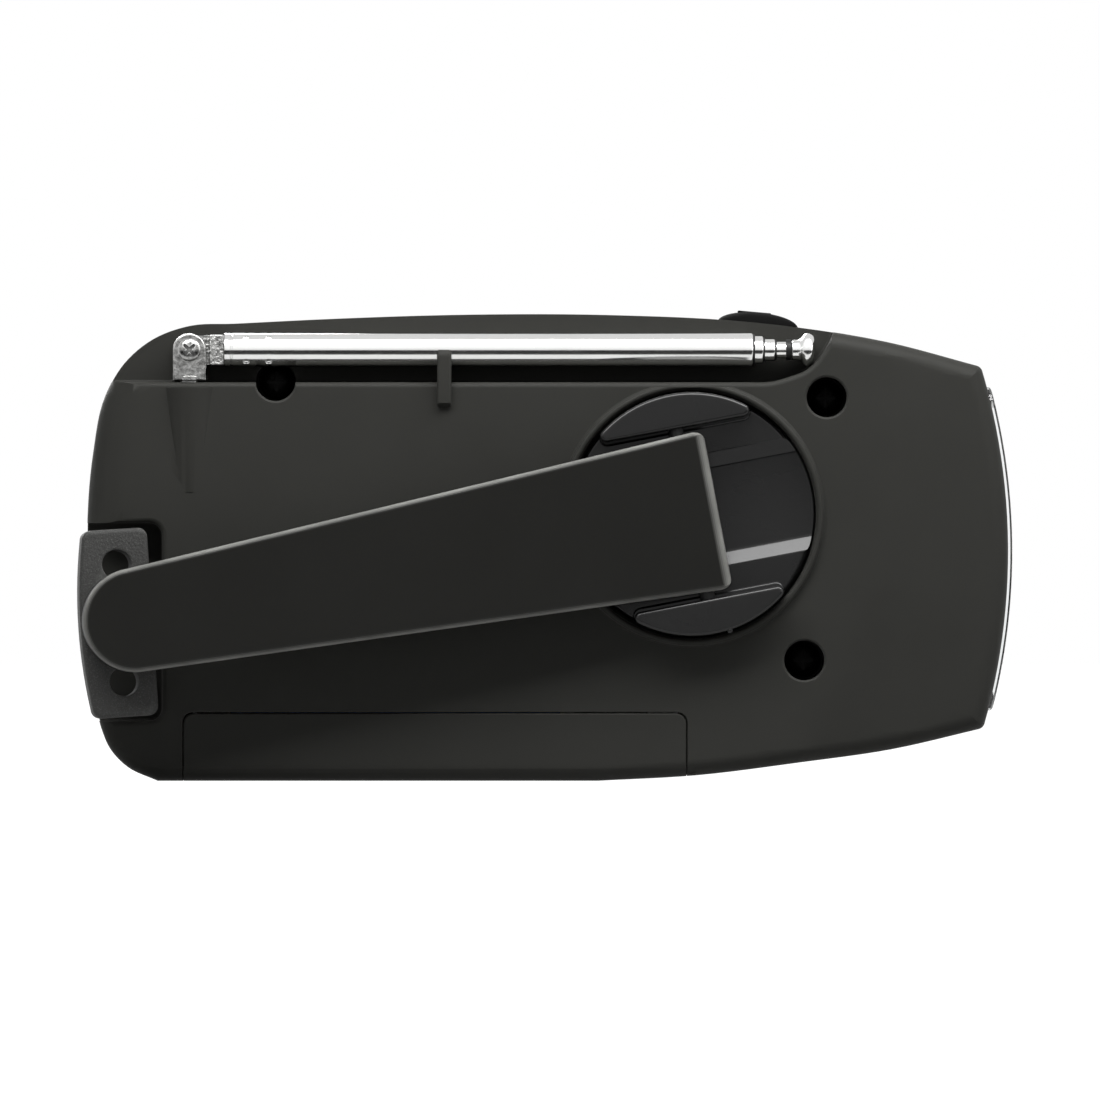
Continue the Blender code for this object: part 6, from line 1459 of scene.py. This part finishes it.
class RADIO_OT_torch(Operator):
    """Makes the lens, the reflector, the lamps and the torch key"""

    bl_idname = "radio.torch"
    bl_label = "Torch end"

    def execute(self, context):
        layers = ((0.0, 1.3), (0.0, -0.35), (0.08, -0.55), (0.25, -0.67), (0.5, -0.7))
        finish_piece(bent_plate(lens_outline(0), layers), "torch_window", "housing", "clear", ["torch_lens"])
        finish_piece(reflector_shape(), "torch_reflector", "housing", "silver", ["reflector"])
        for number, share in enumerate(LAMPS, 1):
            lamp = lamp_shape(share)
            finish_piece(lamp, f"torch_bulb_{number}", "housing", "clear", [f"torch_lamp_{number}"])
        finish_piece(key_shape(), "torch_key", "button", "satin_black", ["torch_button"])
        return {"FINISHED"}


class RADIO_OT_screws(Operator):
    """Makes the four housing screws"""

    bl_idname = "radio.screws"
    bl_label = "Housing screws"

    def execute(self, context):
        mesh = bpy.data.meshes.new("work")
        mesh.from_pydata([(*spot(share), SCREW_SEAT) for share in SCREWS], [], [])
        values = {"Places": placed(mesh), "Material": material("black_steel")}
        screws = set_out("spots", BACK, Shape=cross_screw(2.8, 1.9, 1.4, 15.2, 3.2), **values)
        nodes = [f"housing_screw_{index + 1}" for index in range(len(SCREWS))]
        finish_piece(screws, "housing_screws", "housing", "black_steel", nodes)
        return {"FINISHED"}


class RADIO_OT_workings(Operator):
    """Gives the parts inside their materials"""

    bl_idname = "radio.workings"
    bl_label = "Workings"

    def execute(self, context):
        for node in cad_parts.values():
            if node.hide_render:
                continue
            for slot in node.material_slots:
                found = slot.material.name.split(".")[0] if slot.material else "steel"
                if not found.startswith("finish_"):
                    slot.material = material(found if found in FINISHES else "steel")
        return {"FINISHED"}


class RADIO_OT_stage(Operator):
    """Sets the floor, the light and the camera"""

    bl_idname = "radio.stage"
    bl_label = "Stage"

    def execute(self, context):
        scene = context.scene
        stage = scene.radio_stage
        scene.view_settings.view_transform = "Standard"
        floor = block((-3, -3, -0.01), (3, 3, 0))
        recipe = stage_piece(floor, "floor", 6.0, stage.floor_colour, scaled(stage.floor_colour, 0.985))
        glow = recipe.node("ShaderNodeEmission", {}, {"Strength": 1.35})
        share = recipe.ray("Camera") * 0.8 + recipe.ray("Glossy") * 0.45
        surface = Value(recipe, recipe.shader.outputs[0])
        blend = recipe.node("ShaderNodeMixShader", {}, {0: share, 1: surface, 2: glow})
        recipe.feed(recipe.tree.nodes["Material Output"].inputs[0], blend)
        card = block((-900, -1500, 0.5), (900, -128, 1.5), METRES)
        stage_piece(card, "dark_card", 30.0, (0.02, 0.02, 0.02), (0.03, 0.03, 0.03))
        card.visible_camera = card.visible_diffuse = card.visible_shadow = False
        scene.world = studio_sky(stage)
        for name, place, target, power, size in (
            ("top_light", (0.04, -0.16, 0.29), (0, 0, 0.06), stage.top_power, (0.6, 0.13)),
            ("side_light", (0.80, -0.30, 0.25), (0, 0, 0.04), stage.side_power, (0.3, 0.4)),
            ("front_light", (-0.25, 0.55, 0.35), (0, 0, 0.04), stage.front_power, (0.5, 0.3)),
        ):
            lamp = bpy.data.lights.new(name, "AREA")
            lamp.energy, lamp.shape = power, "RECTANGLE"
            lamp.size, lamp.size_y = size
            holder = placed(lamp, name)
            holder.visible_camera = False
            holder.location = place
            holder.rotation_euler = (Vector(target) - Vector(place)).to_track_quat("-Z", "Y").to_euler()
        camera = bpy.data.cameras.new("camera")
        camera.sensor_width = 36.0
        camera.lens = camera.sensor_width * stage.view_distance / stage.view_width
        camera.clip_end = 20.0
        scene.camera = placed(camera, "camera")
        scene.camera.location = (0.00032, -0.020 - stage.view_distance, 0.03696)
        scene.camera.rotation_euler = (RIGHT_ANGLE, 0, 0)
        return {"FINISHED"}


class RADIO_PT_panel(Panel):
    """Buttons and sizes in the 3D view's sidebar"""

    bl_idname = "RADIO_PT_panel"
    bl_label = "Crank radio"
    bl_space_type = "VIEW_3D"
    bl_region_type = "UI"
    bl_category = "Crank radio"

    def draw(self, context):
        for group in (context.scene.radio_look, context.scene.radio_stage):
            column = self.layout.column(align=True)
            for name in group.__annotations__:
                column.prop(group, name)
        column = self.layout.column(align=True)
        for operator in STEPS:
            column.operator(operator.bl_idname)


STEPS = (
    RADIO_OT_groups,
    RADIO_OT_housing,
    RADIO_OT_crank,
    RADIO_OT_antenna,
    RADIO_OT_controls,
    RADIO_OT_torch,
    RADIO_OT_screws,
    RADIO_OT_workings,
    RADIO_OT_stage,
)
CLASSES = (RadioLook, RadioStage, *STEPS, RADIO_PT_panel)


def register():
    for kind in CLASSES:
        bpy.utils.register_class(kind)
    bpy.types.Scene.radio_look = PointerProperty(type=RadioLook)
    bpy.types.Scene.radio_stage = PointerProperty(type=RadioStage)


def unregister():
    del bpy.types.Scene.radio_stage
    del bpy.types.Scene.radio_look
    for kind in reversed(CLASSES):
        bpy.utils.unregister_class(kind)


def main():
    register()
    bpy.ops.radio.groups()
    bpy.ops.radio.housing()
    bpy.ops.radio.crank()
    bpy.ops.radio.antenna()
    bpy.ops.radio.controls()
    bpy.ops.radio.torch()
    bpy.ops.radio.screws()
    bpy.ops.radio.workings()
    bpy.ops.radio.stage()


if __name__ == "__main__":
    main()
